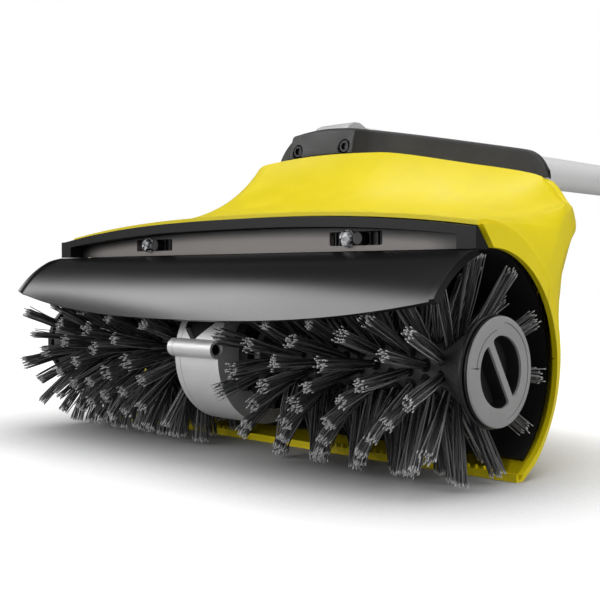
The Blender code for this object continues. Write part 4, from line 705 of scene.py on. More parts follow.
def moulded(name, colour, roughness, grain_mm, grain_height, mottle, scuff=0.08, gloss=0.5):
    """Injection moulded plastic: a spark-eroded tool leaves a fine even grain, and the melt a faint cloud."""
    mat, tree, shader, place = start_material(name, colour, roughness)
    cloud = add(tree, NOISE, {"Vector": place, "Scale": 55.0, "Detail": 3.0})
    share = add(tree, MAP_RANGE, {"Value": cloud, "From Min": 0.3, "From Max": 0.7})
    tone = add(tree, MIX, {0: share, 6: shade_of(colour, 1.0 - mottle), 7: shade_of(colour, 1.0 + mottle)},
               data_type="RGBA")
    scuff_and_painted_light = add(tree, MAP_RANGE, {"Value": cloud, "From Min": 0.25, "From Max": 0.75,
                                   "To Min": roughness - scuff, "To Max": roughness + scuff})
    grain = add(tree, NOISE, {"Vector": place, "Scale": 1000.0 / grain_mm, "Detail": 2.0})
    bump = add(tree, BUMP, {"Height": grain, "Distance": grain_height, "Strength": 0.6})
    feed(shader, {"Base Color": tone.outputs[2], "Roughness": scuff_and_painted_light, "Normal": bump,
                  "Specular IOR Level": gloss})
    return mat


def shaded_bar(name, colour):
    """Satin grey plastic with painted shade: its colour darkens towards the arched top of its recess, and at
    both its ends, where the frame's recess shades it.
    """
    mat = moulded(name, colour, 0.36, 0.8, 0.00001, 0.02, 0.02)
    tree, shader, plain, beside, height = opened(mat)
    share = add(tree, MATH, [beside, HALF_WIDTH], operation="DIVIDE")
    arch = add(tree, MATH, [share, RIM_ARCH], operation="POWER")
    top = add(tree, MATH, [arch, WINDOW_TOP_END - WINDOW_TOP_MID, WINDOW_TOP_MID], operation="MULTIPLY_ADD")
    below = add(tree, MATH, [top, height], operation="SUBTRACT")
    lit = add(tree, MAP_RANGE, {"Value": below, "From Min": 0.0010, "From Max": 0.0066, "To Min": 0.05},
              **SMOOTH_STEP)
    inward = add(tree, MAP_RANGE, {"Value": beside, "From Min": 0.1515, "From Max": 0.1270, "To Min": 0.10},
                 **SMOOTH_STEP)
    both = add(tree, MATH, [lit, inward], operation="MULTIPLY")
    # Painted shade: the bar's colour goes near black where the recess above it shades it
    painted_recess_shade = add(tree, MIX, {0: both, 6: linear("#101010"), 7: plain}, data_type="RGBA")
    feed(shader, {"Base Color": painted_recess_shade.outputs[2]})
    return mat


def dome_with_painted_glints(name):
    """Clear plastic drawn with painted highlights: cells a millimetre or so across are painted white or
    nearly black, standing in for glints and dark reflections.
    """
    mat, tree, shader, place = start_material(name, linear("#8A8C90"), 0.06)
    facets = add(tree, "ShaderNodeTexVoronoi", {"Vector": place, "Scale": 640.0})
    painted_glint_share = add(tree, MAP_RANGE, {"Value": facets.outputs["Color"], "From Min": 0.25, "From Max": 0.70})
    # Painted highlights: the white cells stand in for glints of light on the dome
    tone = add(tree, MIX, {0: painted_glint_share, 6: linear("#1E2024"), 7: linear("#F2F3F6")}, data_type="RGBA")
    feed(shader, {"Base Color": tone.outputs[2]})
    return mat


def shaded_cover(name, colour):
    """Grained plastic, with painted shade that makes the nose darker and painted light that makes the swept
    faces greyer.
    """
    mat = moulded(name, colour, 0.55, 0.95, 0.00042, 0.12)
    tree, shader, plain, beside, _ = opened(mat)
    wing = add(tree, MAP_RANGE, {"Value": beside, "From Min": COVER_NOSE_HALF - 0.002,
                                 "From Max": COVER_NOSE_HALF + 0.018}, **SMOOTH_STEP)
    # Painted light and shade: the nose's colour is painted darker and the wings' colour lighter
    painted_light_and_shade = add(tree, MIX, {0: wing, 6: (0.34, 0.34, 0.34, 1.0), 7: (1.65, 1.65, 1.65, 1.0)}, data_type="RGBA")
    cover_with_painted_light = add(tree, MIX, {0: 1.0, 6: plain, 7: painted_light_and_shade.outputs[2]}, data_type="RGBA", blend_type="MULTIPLY")
    feed(shader, {"Base Color": cover_with_painted_light.outputs[2]})
    return mat


def shaded_guard(name, colour):
    """Satin black plastic whose gloss fades from the guard's lip up to its shaded root under the frame."""
    mat, tree, shader, place = start_material(name, colour, 0.27)
    cloud = add(tree, NOISE, {"Vector": place, "Scale": 20.0, "Detail": 1.0})
    tone = add(tree, MIX, {0: cloud, 6: shade_of(colour, 0.95), 7: shade_of(colour, 1.05)}, data_type="RGBA")
    scuff_and_painted_light = add(tree, MAP_RANGE, {"Value": cloud, "To Min": 0.26, "To Max": 0.30})
    axes = add(tree, SEPARATE, [place])
    gloss = add(tree, MAP_RANGE, {"Value": axes.outputs[2], "From Min": 0.1080, "From Max": 0.0860,
                                  "To Min": 0.04, "To Max": 0.55}, **SMOOTH_STEP)
    feed(shader, {"Base Color": tone.outputs[2], "Roughness": scuff_and_painted_light, "Specular IOR Level": gloss})
    return mat


def cast_metal(name, colour):
    """Die-cast aluminium, shot blasted: pale, evenly matt, with peened dimples half a millimetre across."""
    mat, tree, shader, place = start_material(name, colour, 0.42, 0.45)
    dimples = add(tree, "ShaderNodeTexVoronoi", {"Vector": place, "Scale": 1400.0}, feature="SMOOTH_F1")
    cloud = add(tree, NOISE, {"Vector": place, "Scale": 90.0, "Detail": 4.0})
    rough = add(tree, MAP_RANGE, {"Value": cloud, "To Min": 0.34, "To Max": 0.54})
    tone = add(tree, MIX, {0: cloud, 6: shade_of(colour, 0.90), 7: colour}, data_type="RGBA")
    bump = add(tree, BUMP, {"Height": dimples.outputs["Distance"], "Distance": 0.00006, "Strength": 0.5})
    feed(shader, {"Base Color": tone.outputs[2], "Roughness": rough, "Normal": bump})
    return mat


def turned_steel(name, colour, roughness):
    """Turned and zinc-plated steel: fine tool marks a tenth of a millimetre apart, drawn twice as coarse."""
    mat, tree, shader, place = start_material(name, colour, roughness, 1.0)
    marks = add(tree, NOISE, {"Vector": place, "Scale": 2600.0, "Detail": 1.0})
    rough = add(tree, MAP_RANGE, {"Value": marks, "To Min": roughness - 0.08, "To Max": roughness + 0.12})
    bump = add(tree, BUMP, {"Height": marks, "Distance": 0.00002, "Strength": 0.4})
    feed(shader, {"Roughness": rough, "Normal": bump})
    return mat


def drawn_tube_metal(name, colour):
    """Drawn and anodised aluminium tube: satin, with faint die lines that run along the tube."""
    mat, tree, shader, place = start_material(name, colour, 0.30, 0.15)
    stretch = add(tree, "ShaderNodeMapping", {"Vector": place, "Scale": (1400.0, 12.0, 1400.0)})
    lines = add(tree, NOISE, {"Vector": stretch, "Scale": 1.0, "Detail": 2.0})
    rough = add(tree, MAP_RANGE, {"Value": lines, "To Min": 0.22, "To Max": 0.40})
    bump = add(tree, BUMP, {"Height": lines, "Distance": 0.00002, "Strength": 0.35})
    feed(shader, {"Roughness": rough, "Normal": bump})
    return mat


def nylon_strands(name, colour, tip_colour):
    """Extruded nylon strands: dark and waxy along their length, pale and matt where they are cut, with
    painted sheen on some strands and painted light on their outer half.
    """
    mat, tree, shader, place = start_material(name, colour, 0.38)
    along_strand = add(tree, "ShaderNodeAttribute", attribute_name="along").outputs["Fac"]
    shade = add(tree, "ShaderNodeAttribute", attribute_name="shade").outputs["Fac"]
    # Painted sheen: some strands, picked at random, are painted pale as if they caught the light
    painted_sheen_share = add(tree, MATH, [shade, 2.4], operation="POWER")
    base = add(tree, MIX, {0: painted_sheen_share, 6: shade_of(colour, 0.40), 7: linear("#B0B0B2")}, data_type="RGBA")
    # Painted light: past their middle the strands are painted paler, as where light falls on the tufts and
    # not between them
    painted_light_outwards = add(tree, MAP_RANGE, {"Value": along_strand, "From Min": 0.30, "From Max": 0.95, "To Max": 0.34},
               **SMOOTH_STEP)
    scuff_and_painted_light = add(tree, MIX, {0: painted_light_outwards, 6: base.outputs[2], 7: linear("#707072")}, data_type="RGBA")
    near_tip = add(tree, MAP_RANGE, {"Value": along_strand, "From Min": 0.956, "From Max": 0.978,
                                     "To Max": 0.9})
    tipped = add(tree, MIX, {0: near_tip, 6: scuff_and_painted_light.outputs[2], 7: tip_colour}, data_type="RGBA")
    rough = add(tree, MAP_RANGE, {"Value": near_tip, "To Min": 0.34, "To Max": 0.75})
    fine = add(tree, NOISE, {"Vector": place, "Scale": 1500.0, "Detail": 1.0})
    bump = add(tree, BUMP, {"Height": fine, "Distance": 0.00003, "Strength": 0.4})
    feed(shader, {"Base Color": tipped.outputs[2], "Roughness": rough, "Normal": bump})
    return mat


def circuit_board(name):
    """Glass epoxy board under green resist: glossy, with tracks half a millimetre apart showing through."""
    green = linear("#17552B")
    mat, tree, shader, place = start_material(name, green, 0.32)
    tracks = add(tree, "ShaderNodeTexBrick", {"Vector": place, "Scale": 260.0, "Color1": green,
                                              "Color2": shade_of(green, 1.5), "Mortar": linear("#0F3D1F"),
                                              "Mortar Size": 0.05}, offset=0.35, squash=0.6)
    bump = add(tree, BUMP, {"Height": tracks.outputs["Fac"], "Distance": 0.00004, "Strength": 0.5})
    feed(shader, {"Base Color": tracks.outputs["Color"], "Normal": bump})
    return mat


def laminated_rotor(name):
    """Varnished copper winding and stamped steel sheets: reddish, ringed every half millimetre."""
    copper = linear("#A5633C")
    mat, tree, shader, place = start_material(name, copper, 0.42, 1.0)
    sheets = add(tree, "ShaderNodeTexWave", {"Vector": place, "Scale": 320.0, "Distortion": 0.2},
                 bands_direction="X").outputs["Fac"]
    tone = add(tree, MIX, {0: sheets, 6: copper, 7: linear("#77706A")}, data_type="RGBA")
    bump = add(tree, BUMP, {"Height": sheets, "Distance": 0.0001, "Strength": 0.5})
    feed(shader, {"Base Color": tone.outputs[2], "Normal": bump})
    return mat


class PATIO_OT_materials(bpy.types.Operator):
    """Makes one material for each finish, kept by a short name for the operators that come after"""
    bl_idname = "patio.materials"
    bl_label = "Materials"

    def execute(self, context):
        made = MATERIALS
        yellow, cover, satin, bar, cap, alloy, bristle, tip = (
            tuple(getattr(context.scene.patio_colours, name))
            for name in ("yellow", "cover", "satin", "bar", "cap", "alloy", "bristle", "bristle_tip"))
        # Moulded ABS with a fine spark-eroded grain: bright, satin, slightly softer at its highlights
        made["yellow"] = moulded("spark_eroded_yellow_abs", yellow, 0.42, 0.60, 0.00012, 0.020, gloss=0.30)
        # Glass-filled polypropylene with a coarser leather-like grain: a dull dark grey in the light, with
        # painted shade on the nose and painted light on the wings
        made["cover"] = shaded_cover("grained_black_polypropylene", cover)
        # Satin ABS of the guard: near black above, with a long soft reflection that gathers towards its lip
        made["satin"] = shaded_guard("satin_black_abs", satin)
        # The frame's ABS comes duller from its mould: near black, with a thin soft light on its edges
        made["frame"] = moulded("dull_satin_black_abs", shade_of(satin, 0.8), 0.44, 0.9, 0.00002, 0.04, 0.02,
                                gloss=0.25)
        # Warm grey satin ABS of the bar, with painted shade at its arched top and at both its ends
        made["bar"] = shaded_bar("satin_grey_abs", bar)
        # Light grey ABS with a visible fine grain
        made["cap"] = moulded("grained_grey_abs", cap, 0.52, 0.50, 0.00014, 0.04)
        # Plain black moulded polyamide of hubs, cap bodies and fittings
        made["black"] = moulded("moulded_black_polyamide", linear("#1D1D1E"), 0.42, 0.8, 0.00006, 0.06)
        # Black polypropylene liner, dull and seldom in the light
        made["liner"] = moulded("dull_black_polypropylene", linear("#161617"), 0.66, 1.2, 0.00010, 0.08)
        # Moulded polypropylene core: dark grey, glossier than the strands; the cups in its sockets are
        # painted nearly black as shade
        made["core"] = moulded("moulded_grey_polypropylene", linear("#4A4A4B"), 0.30, 1.0, 0.00005, 0.06,
                               0.06)
        # Painted shade: the tuft sockets' cups are near black
        made["socket"] = moulded("shaded_tuft_socket", linear("#0B0B0B"), 0.70, 1.0, 0.00005, 0.06)
        # Extruded nylon of the strands: dark and waxy, with pale cut tips, painted sheen on some strands and
        # painted light on their outer half
        made["bristle"] = nylon_strands("extruded_black_nylon", bristle, tip)
        # Die-cast aluminium of the arm: pale and matt from the blasting
        made["alloy"] = cast_metal("blasted_die_cast_aluminium", alloy)
        # Anodised drawn tube of the handle: bright satin, with lines along it
        made["tube"] = drawn_tube_metal("anodised_drawn_aluminium", linear("#FAFAFB"))
        # Pale satin polyamide of the handle's knuckle
        made["knuckle"] = moulded("pale_satin_polyamide", linear("#C9C9CA"), 0.38, 0.8, 0.00004, 0.03)
        # Zinc-plated turned steel of shaft, bearings and pins: light grey, softly shining
        made["steel"] = turned_steel("zinc_plated_turned_steel", linear("#A4A6A8"), 0.30)
        # Black oxide on screw steel: almost black, oily sheen
        made["oxide"] = turned_steel("black_oxide_screw_steel", linear("#3A3A3C"), 0.34)
        # Polished clear polycarbonate of the nozzles' domes, with painted highlights: small cells painted
        # white beside cells painted nearly black
        made["nozzle"] = dome_with_painted_glints("polished_clear_polycarbonate")
        # Vulcanised rubber of belt and cable gland: matt, dusty black
        made["rubber"] = moulded("vulcanised_rubber", linear("#1B1B1B"), 0.80, 1.0, 0.00012, 0.10)
        # Soft overmoulded elastomer of the grip: matt, with a pebbled grain
        made["soft"] = moulded("overmoulded_soft_elastomer", linear("#232324"), 0.72, 1.1, 0.00022, 0.08)
        # Glass epoxy of the control board and the motor's wound rotor, both seen only when it is opened
        made["board"] = circuit_board("green_circuit_board")
        made["rotor"] = laminated_rotor("wound_steel_rotor")
        return {"FINISHED"}


# Housing

HUMP_FLAT = HALF_WIDTH - 0.1150
HUMP_SHOULDER = HALF_WIDTH - 0.0740
HUMP_WING = HALF_WIDTH - 0.0450
HUMP_CORNER = HALF_WIDTH - 0.0300
HUMP_NECK = HALF_WIDTH - 0.0200
HUMP_END = HALF_WIDTH - 0.0100
HUMP_TABLE = [
    (0.0, (NOSE_Y, NOSE_Z, REAR_Y, NOSE_Z - 0.0085, REAR_Y, NOSE_Z - 0.040, REAR_Y - 0.032, 0.070)),
    (HUMP_FLAT, (NOSE_Y + 0.002, NOSE_Z - 0.0015, REAR_Y, NOSE_Z - 0.0085, REAR_Y, NOSE_Z - 0.040,
                 REAR_Y - 0.032, 0.070)),
    (HUMP_SHOULDER, (NOSE_Y + 0.029, NOSE_Z - 0.0085, REAR_Y - 0.002, NOSE_Z - 0.0105, REAR_Y - 0.002,
                     NOSE_Z - 0.044, REAR_Y - 0.034, 0.070)),
    (HUMP_WING, (NOSE_Y + 0.061, NOSE_Z - 0.0155, REAR_Y - 0.010, NOSE_Z - 0.019, REAR_Y - 0.014,
                 NOSE_Z - 0.052, REAR_Y - 0.045, 0.066)),
    (HUMP_CORNER, (NOSE_Y + 0.061, NOSE_Z - 0.031, REAR_Y - 0.019, NOSE_Z - 0.034, REAR_Y - 0.026,
                   NOSE_Z - 0.056, REAR_Y - 0.055, 0.055)),
    (HUMP_NECK, (NOSE_Y + 0.044, NOSE_Z - 0.034, REAR_Y - 0.038, NOSE_Z - 0.039, REAR_Y - 0.048,
                 NOSE_Z - 0.062, REAR_Y - 0.066, 0.045)),
    (HUMP_END, (NOSE_Y + 0.020, NOSE_Z - 0.048, REAR_Y - 0.065, NOSE_Z - 0.054, REAR_Y - 0.067,
                NOSE_Z - 0.067, REAR_Y - 0.076, 0.038)),
]
FOOT_ANGLE = -math.acos(FOOT_FRONT / OPENING_RADIUS)
FRONT_ANGLE = math.acos(OPENING_FRONT / OPENING_RADIUS)
LIP_Z = AXIS_Z + OPENING_RADIUS * math.sin(FOOT_ANGLE)


def rim_height(x):
    """The front rim is arched: highest in the middle and lowest at the sides."""
    return RIM_Z_MID - (RIM_Z_MID - RIM_Z_END) * abs(x / HALF_WIDTH) ** RIM_ARCH


def frame_top(x):
    return rim_height(x) - RIM_HEIGHT - RUN_GAP


def window_top(x):
    return WINDOW_TOP_MID - (WINDOW_TOP_MID - WINDOW_TOP_END) * abs(x / HALF_WIDTH) ** RIM_ARCH


def hump_profile(x):
    """One section of the skin's outside, from the rim's lower edge round the back to the foot's front."""
    top_y, top_z, rear_y, rear_z, wall_y, wall_z, low_y, toe_y = blend_between(HUMP_TABLE, x)
    rim_z = rim_height(x)
    run, rise = top_y - RIM_Y, top_z - rim_z
    points = [(RIM_Y, rim_z - RIM_HEIGHT)]
    points += bezier((RIM_Y, rim_z), (RIM_Y + 0.48 * run, rim_z + 0.02 * rise),
                     (top_y - 0.18 * run, top_z - 0.46 * rise), (top_y, top_z), FLARE_STEPS)
    room = rear_y - top_y
    deck = (top_y + min(0.006, 0.35 * room), top_z - min(DECK_DROP, DECK_SLOPE * room))
    points += [deck]
    behind = [deck, (rear_y - min(0.012, 0.35 * room), rear_z + 0.001), (rear_y, rear_z - min(0.010, room)),
              (wall_y, wall_z), (low_y, SPLIT_Z), (toe_y + 0.66 * (low_y - toe_y), 0.44 * SPLIT_Z),
              (toe_y, 0.006)]
    points += smooth_through(behind, REAR_STEPS)
    points += [(toe_y - 0.003, 0.0018), (toe_y - 0.006, 0.0), (FOOT_FRONT, 0.0), (FOOT_FRONT, LIP_Z)]
    return points


def side_profile():
    """The round edge of the flat side plate, with a point for each point of the section beside it."""
    beside = hump_profile(HUMP_END)
    foot_angle = math.asin((0.0 - SIDE_ARC_Z) / SIDE_ARC_RADIUS_Z)
    rim_angle = math.acos((RIM_Y - SIDE_ARC_Y) / SIDE_ARC_RADIUS_Y)
    last_turned = len(beside) - 3
    angles = [math.atan2((z - SIDE_ARC_Z) / SIDE_ARC_RADIUS_Z, (y - SIDE_ARC_Y) / SIDE_ARC_RADIUS_Y)
              for y, z in beside]
    points = [(RIM_Y, RIM_Z_END - RIM_HEIGHT), (RIM_Y, RIM_Z_END)]
    for k in range(2, last_turned + 1):
        share = (angles[k] - angles[1]) / (angles[last_turned] - angles[1])
        angle = rim_angle + share * (foot_angle - rim_angle)
        points.append((SIDE_ARC_Y + SIDE_ARC_RADIUS_Y * math.cos(angle),
                       SIDE_ARC_Z + SIDE_ARC_RADIUS_Z * math.sin(angle)))
    return points + [(FOOT_FRONT, 0.0), (FOOT_FRONT, LIP_Z)]


SIDE_PROFILE = side_profile()


def outer_section(x):
    if abs(x) <= HUMP_END:
        return hump_profile(abs(x))
    share = (abs(x) - HUMP_END) / (HALF_WIDTH - HUMP_END)
    pairs = zip(hump_profile(HUMP_END), SIDE_PROFILE)
    return [tuple(lerp(a, b, share) for a, b in zip(p, q)) for p, q in pairs]


def housing_sheet():
    """The whole outside of the housing as one open sheet, with its two round side plates."""
    half = [HUMP_END * k / HUMP_STATIONS for k in range(HUMP_STATIONS)]
    half += [HUMP_END - CREASE, HUMP_END, HUMP_END + CREASE, lerp(HUMP_END, HALF_WIDTH, 0.5), HALF_WIDTH]
    xs = [-x for x in reversed(half[1:])] + half
    bm = bmesh.new()
    rings = [[bm.verts.new((x, y + TO_FOOT, z)) for y, z in outer_section(x)] for x in xs]
    for i in range(len(rings) - 1):
        for j in range(len(rings[0]) - 1):
            bm.faces.new((rings[i][j], rings[i + 1][j], rings[i + 1][j + 1], rings[i][j + 1]))
    for ring, x in ((rings[0], xs[0]), (rings[-1], xs[-1])):
        hole = []
        for y, z in SIDE_PROFILE:
            angle = max(FOOT_ANGLE, min(FRONT_ANGLE, math.atan2(z - AXIS_Z, y)))
            point = (x, OPENING_RADIUS * math.cos(angle) + TO_FOOT, AXIS_Z + OPENING_RADIUS * math.sin(angle))
            if hole and (Vector(point) - hole[-1].co).length < SAME_POINT:
                hole.append(hole[-1])
            else:
                hole.append(bm.verts.new(point))
        for j in range(len(ring) - 1):
            corners = []
            for vert in (ring[j], ring[j + 1], hole[j + 1], hole[j]):
                if vert not in corners:
                    corners.append(vert)
            if len(corners) > 2:
                bm.faces.new(corners if x > 0 else corners[::-1])
    bmesh.ops.remove_doubles(bm, verts=bm.verts, dist=SAME_POINT)
    bm.normal_update()
    highest = max(bm.faces, key=lambda face: face.calc_center_median().z)
    if highest.normal.z < 0.0:
        bmesh.ops.reverse_faces(bm, faces=bm.faces)
    return bm


def shell_from(sheet, name, cuts, sizes, inset=0.0):
    """Keeps the sheet on one side of each cut, and gives it its wall and its rounded edges."""
    bm = sheet.copy()
    for height, along_y, normal in cuts:
        geometry = bm.verts[:] + bm.edges[:] + bm.faces[:]
        bmesh.ops.bisect_plane(bm, geom=geometry, dist=SAME_POINT, plane_co=(0.0, along_y + TO_FOOT, height),
                               plane_no=normal, clear_inner=True)
    bmesh.ops.dissolve_degenerate(bm, edges=bm.edges, dist=0.0001)
    mesh = mesh_of(name, bm, [MATERIALS["yellow"]])
    obj = in_scene(name, mesh)
    if inset > 0.0:
        for vert, normal in zip(mesh.vertices, [n.vector.copy() for n in mesh.vertex_normals]):
            vert.co -= normal * inset
    wall = obj.modifiers.new("wall", "SOLIDIFY")
    wall.thickness = sizes.wall - inset
    wall.offset = -1.0
    wall.use_quality_normals = True
    bake_modifiers(obj)
    return soften(obj, sizes.edge, 2, math.radians(48.0))


def new_tree(name, takes):
    """A node tree that gives a geometry, with a named input for each default; None is a geometry's."""
    tree = bpy.data.node_groups.new(name, "GeometryNodeTree")
    for label, default in takes.items():
        kind = "Geometry" if default is None else "Int" if isinstance(default, int) else "Float"
        socket = tree.interface.new_socket(name=label, in_out="INPUT", socket_type="NodeSocket" + kind)
        if default is not None:
            socket.default_value = default
    tree.interface.new_socket(name="Geometry", in_out="OUTPUT", socket_type="NodeSocketGeometry")
    return tree, add(tree, "NodeGroupInput").outputs


def made_real(tree, instances, material):
    """Turns instances into plain geometry of one material."""
    real = add(tree, "GeometryNodeRealizeInstances", {"Geometry": instances})
    return add(tree, "GeometryNodeSetMaterial", {"Geometry": real, "Material": material})


def rib_tree(material):
    """A row of small upright ribs along X from one end to the other."""
    tree, given = new_tree("lip_ribs", {"First": 0.0, "Last": 0.1, "Y": 0.0, "Z": 0.0, "Pitch": 0.005,
                                        "Width": 0.001, "Depth": 0.002, "Height": 0.002})
    run = add(tree, MATH, [given["Last"], given["First"]], operation="SUBTRACT")
    shares = add(tree, MATH, [run, given["Pitch"]], operation="DIVIDE")
    count = add(tree, MATH, [shares], operation="FLOOR")
    start = add(tree, COMBINE, [given["First"], given["Y"], given["Z"]])
    step = add(tree, COMBINE, [given["Pitch"]])
    line = add(tree, "GeometryNodeMeshLine", {"Count": count, "Start Location": start, "Offset": step},
               mode="OFFSET")
    size = add(tree, COMBINE, [given["Width"], given["Depth"], given["Height"]])
    cube = add(tree, "GeometryNodeMeshCube", {"Size": size})
    where = add(tree, "GeometryNodeInputPosition")
    axes = add(tree, SEPARATE, [where])
    above = add(tree, MATH, [axes.outputs[2], 0.0], operation="GREATER_THAN")
    taper = add(tree, MAP_RANGE, {"Value": above, "To Min": 1.0, "To Max": 0.55})
    scale = add(tree, COMBINE, [taper, taper, 1.0])
    slimmer = add(tree, "ShaderNodeVectorMath", [where, scale], operation="MULTIPLY")
    rib = add(tree, "GeometryNodeSetPosition", {"Geometry": cube, "Position": slimmer})
    row = add(tree, "GeometryNodeInstanceOnPoints", {"Points": line, "Instance": rib})
    add(tree, "NodeGroupOutput", {"Geometry": made_real(tree, row, material)})
    return tree


def from_tree(name, tree, values, base=None):
    """A plain mesh object from a node tree with the given inputs."""
    mesh = base or bpy.data.meshes.new(name)
    obj = bpy.data.objects.new(name, mesh)
    step = obj.modifiers.new("nodes", "NODES")
    step.node_group = tree
    identifiers = {item.name: item.identifier for item in tree.interface.items_tree
                   if item.item_type == "SOCKET" and item.in_out == "INPUT"}
    for label, value in values.items():
        step[identifiers[label]] = value
    bpy.context.scene.collection.objects.link(obj)
    return bake_modifiers(obj)


class PATIO_OT_housing(bpy.types.Operator):
    """Builds the three yellow shells, the pad on the rear wall and the ribs on the foot's lip"""
    bl_idname = "patio.housing"
    bl_label = "Housing"

    def execute(self, context):
        sizes = context.scene.patio_housing
        half = sizes.seam / 2
        sheet = housing_sheet()
        up, down = Vector((0.0, 0.0, 1.0)), Vector((0.0, 0.0, -1.0))
        back, front = Vector((0.0, 1.0, 0.0)), Vector((0.0, -1.0, 0.0))
        above, below = (SPLIT_Z + half, 0.0, up), (SPLIT_Z - half, 0.0, down)
        ahead, behind = (0.0, SEAM_Y - half, front), (0.0, SEAM_Y + half, back)
        for name, cuts in (("upper_housing", (above, ahead)), ("lower_housing", (below,)),
                           ("rear_cover", (above, behind))):
            dress(shell_from(sheet, name + "_shell", cuts, sizes), "machine", "yellow_plastic", name)
        # The tongue stands inside the seam, so that no light shows through it
        cuts = (SPLIT_Z - TONGUE_HALF, 0.0, up), (SPLIT_Z + TONGUE_HALF, 0.0, down)
        dress(shell_from(sheet, "seam_tongue", cuts, sizes, TONGUE_INSET), "machine", "yellow_plastic")
        sheet.free()
        low = (-KNOB_X - PAD_MARGIN, VALVE_Z - PAD_HALF_HEIGHT)
        high = (-INLET_X + PAD_MARGIN, VALVE_Z + PAD_HALF_HEIGHT)
        outline = rounded_corners([low, (high[0], low[1]), high, (low[0], high[1])], PAD_CORNER, 6)
        pad = prism("inlet_pad", outline, PAD_ROOT_Y, PAD_FACE_Y, [MATERIALS["yellow"]], "Y")
        dress(soften(pad, 0.0012, 3), "machine", "yellow_plastic")
        tree = rib_tree(MATERIALS["yellow"])
        ribs = [from_tree("lip_ribs_part", tree, {
            "First": first, "Last": last, "Y": FOOT_FRONT + TO_FOOT + 0.0012, "Z": LIP_Z + 0.0004,
            "Pitch": sizes.rib_pitch, "Width": sizes.rib_width, "Depth": 0.0022, "Height": 0.0026})
            for first, last in LIP_RIB_RUNS]
        dress(gather("lip_ribs", ribs), "machine", "yellow_plastic")
        return {"FINISHED"}


# Top cover

def height_on(points, y):
    """The height of a line of points at y."""
    for (y0, z0), (y1, z1) in zip(points, points[1:]):
        if y0 <= y <= y1:
            return lerp(z0, z1, (y - y0) / (y1 - y0))
    return points[-1][1]


def cover_front(x):
    """The front of the cover in plan: a flat nose, a ridge, and wings that bend back to a straight sweep."""
    beyond = max(0.0, x - COVER_NOSE_HALF)
    step = min(1.0, beyond / COVER_RIDGE_WIDTH)
    bend = COVER_STRAIGHT_FROM - COVER_NOSE_HALF
    end_depth = COVER_SWEEP * (COVER_STRAIGHT_FROM - COVER_SWEEP_FROM)
    first_slope = 2.0 * end_depth / bend - COVER_SWEEP
    if beyond < bend:
        depth = first_slope * beyond + (COVER_SWEEP - first_slope) * beyond ** 2 / (2.0 * bend)
    else:
        depth = end_depth + COVER_SWEEP * (beyond - bend)
    return COVER_FRONT + depth + COVER_RIDGE_STEP * step * step * (3.0 - 2.0 * step)


def cover_crown(x):
    end = max(0.0, (x - COVER_END_START) / (COVER_WING_X - COVER_END_START))
    return (COVER_TOP - COVER_CROWN_SLOPE * (math.hypot(x, COVER_CROWN_ROUND) - COVER_CROWN_ROUND)
            - COVER_END_DROP * end ** 3)


def cover_section(x):
    """One section of the black cover: it rests on the housing's deck, and its crown falls to the wings."""
    skin = outer_section(x)
    deck = skin[FLARE_STEPS + 1:FLARE_STEPS + 3 + REAR_STEPS]
    front = max(cover_front(x), deck[0][0] + FIT_GAP)
    crown = cover_crown(x)
    back = deck[-1][0]
    lean = min(COVER_LEAN, 0.3 * (back - front))
    ys = [front] + [max(y, front + COVER_STEP * (k + 1)) for k, (y, _) in enumerate(deck[1:])]
    section = [(y, height_on(deck, y) + COVER_LIFT) for y in ys]
    low = section[0][1]
    section += [(back + 0.001, crown - COVER_EDGE)]
    section += bezier((back + 0.0006, crown - COVER_EDGE * 0.6), (back + 0.0003, crown - 0.0004),
                      (back - 0.0004, crown), (back - COVER_EDGE, crown), 4)
    section += [(front + lean + COVER_EDGE, crown)]
    edge = front + lean
    section += bezier((edge + COVER_EDGE * 0.5, crown - 0.0002), (edge + 0.0008, crown - 0.0006),
                      (edge + 0.0001, crown - 0.0014), (edge - 0.0002, crown - COVER_EDGE), 5)
    section += bezier((front + 0.8 * lean, lerp(low, crown, 0.72)),
                      (front + 0.55 * lean, lerp(low, crown, 0.5)),
                      (front + 0.25 * lean, lerp(low, crown, 0.3)), (front, low + 0.0008), 6)
    return section


class PATIO_OT_cover(bpy.types.Operator):
    """Builds the grained black top cover with its channel for the handle and its two sunk screw holes"""
    bl_idname = "patio.cover"
    bl_label = "Top cover"

    def execute(self, context):
        mats = [MATERIALS["cover"]]
        steps = 52
        half = [COVER_WING_X * k / steps for k in range(steps + 1)]
        half = sorted(half + [COVER_NOSE_HALF + COVER_RIDGE_WIDTH * k / 8 for k in range(9)])
        xs = [-x for x in reversed(half[1:])] + half
        cover = loft("cover_shell", [[(x, y, z) for y, z in cover_section(abs(x))] for x in xs], mats)
        floor = HINGE_Z - TUBE_RADIUS - CHANNEL_FLOOR
        carve(cover, block("channel", (-CHANNEL_HALF, CHANNEL_FRONT, floor), (CHANNEL_HALF, 1.0, 1.0), mats),
              rod("pin_hole", (0.0, HINGE_Y, HINGE_Z), -HINGE_PIN_HALF - FIT_GAP, HINGE_PIN_HALF + FIT_GAP,
                  HINGE_PIN_RADIUS + FIT_GAP, mats))
        for side in (-1, 1):
            centre = (side * COVER_SCREW_X, 0.0, COVER_SCREW_Z)
            mouth = SCREW_HEAD_RADIUS + RUN_GAP
            profile = [(COVER_FRONT - 0.01, 0.0), (SCREW_SEAT_Y, 0.0), (SCREW_SEAT_Y, mouth),
                       (COVER_FRONT + 0.0016, mouth), (COVER_FRONT - 0.0006, mouth + 0.0012),
                       (COVER_FRONT - 0.01, mouth + 0.0012)]
            carve(cover, turned("head_hole", profile, centre, mats, "Y", 40))
        soften(cover, 0.0007, 2)
        dress(cover, "machine", "black_plastic", "top_cover")
        return {"FINISHED"}


# Front frame, nozzle bar, nozzles and splash guard

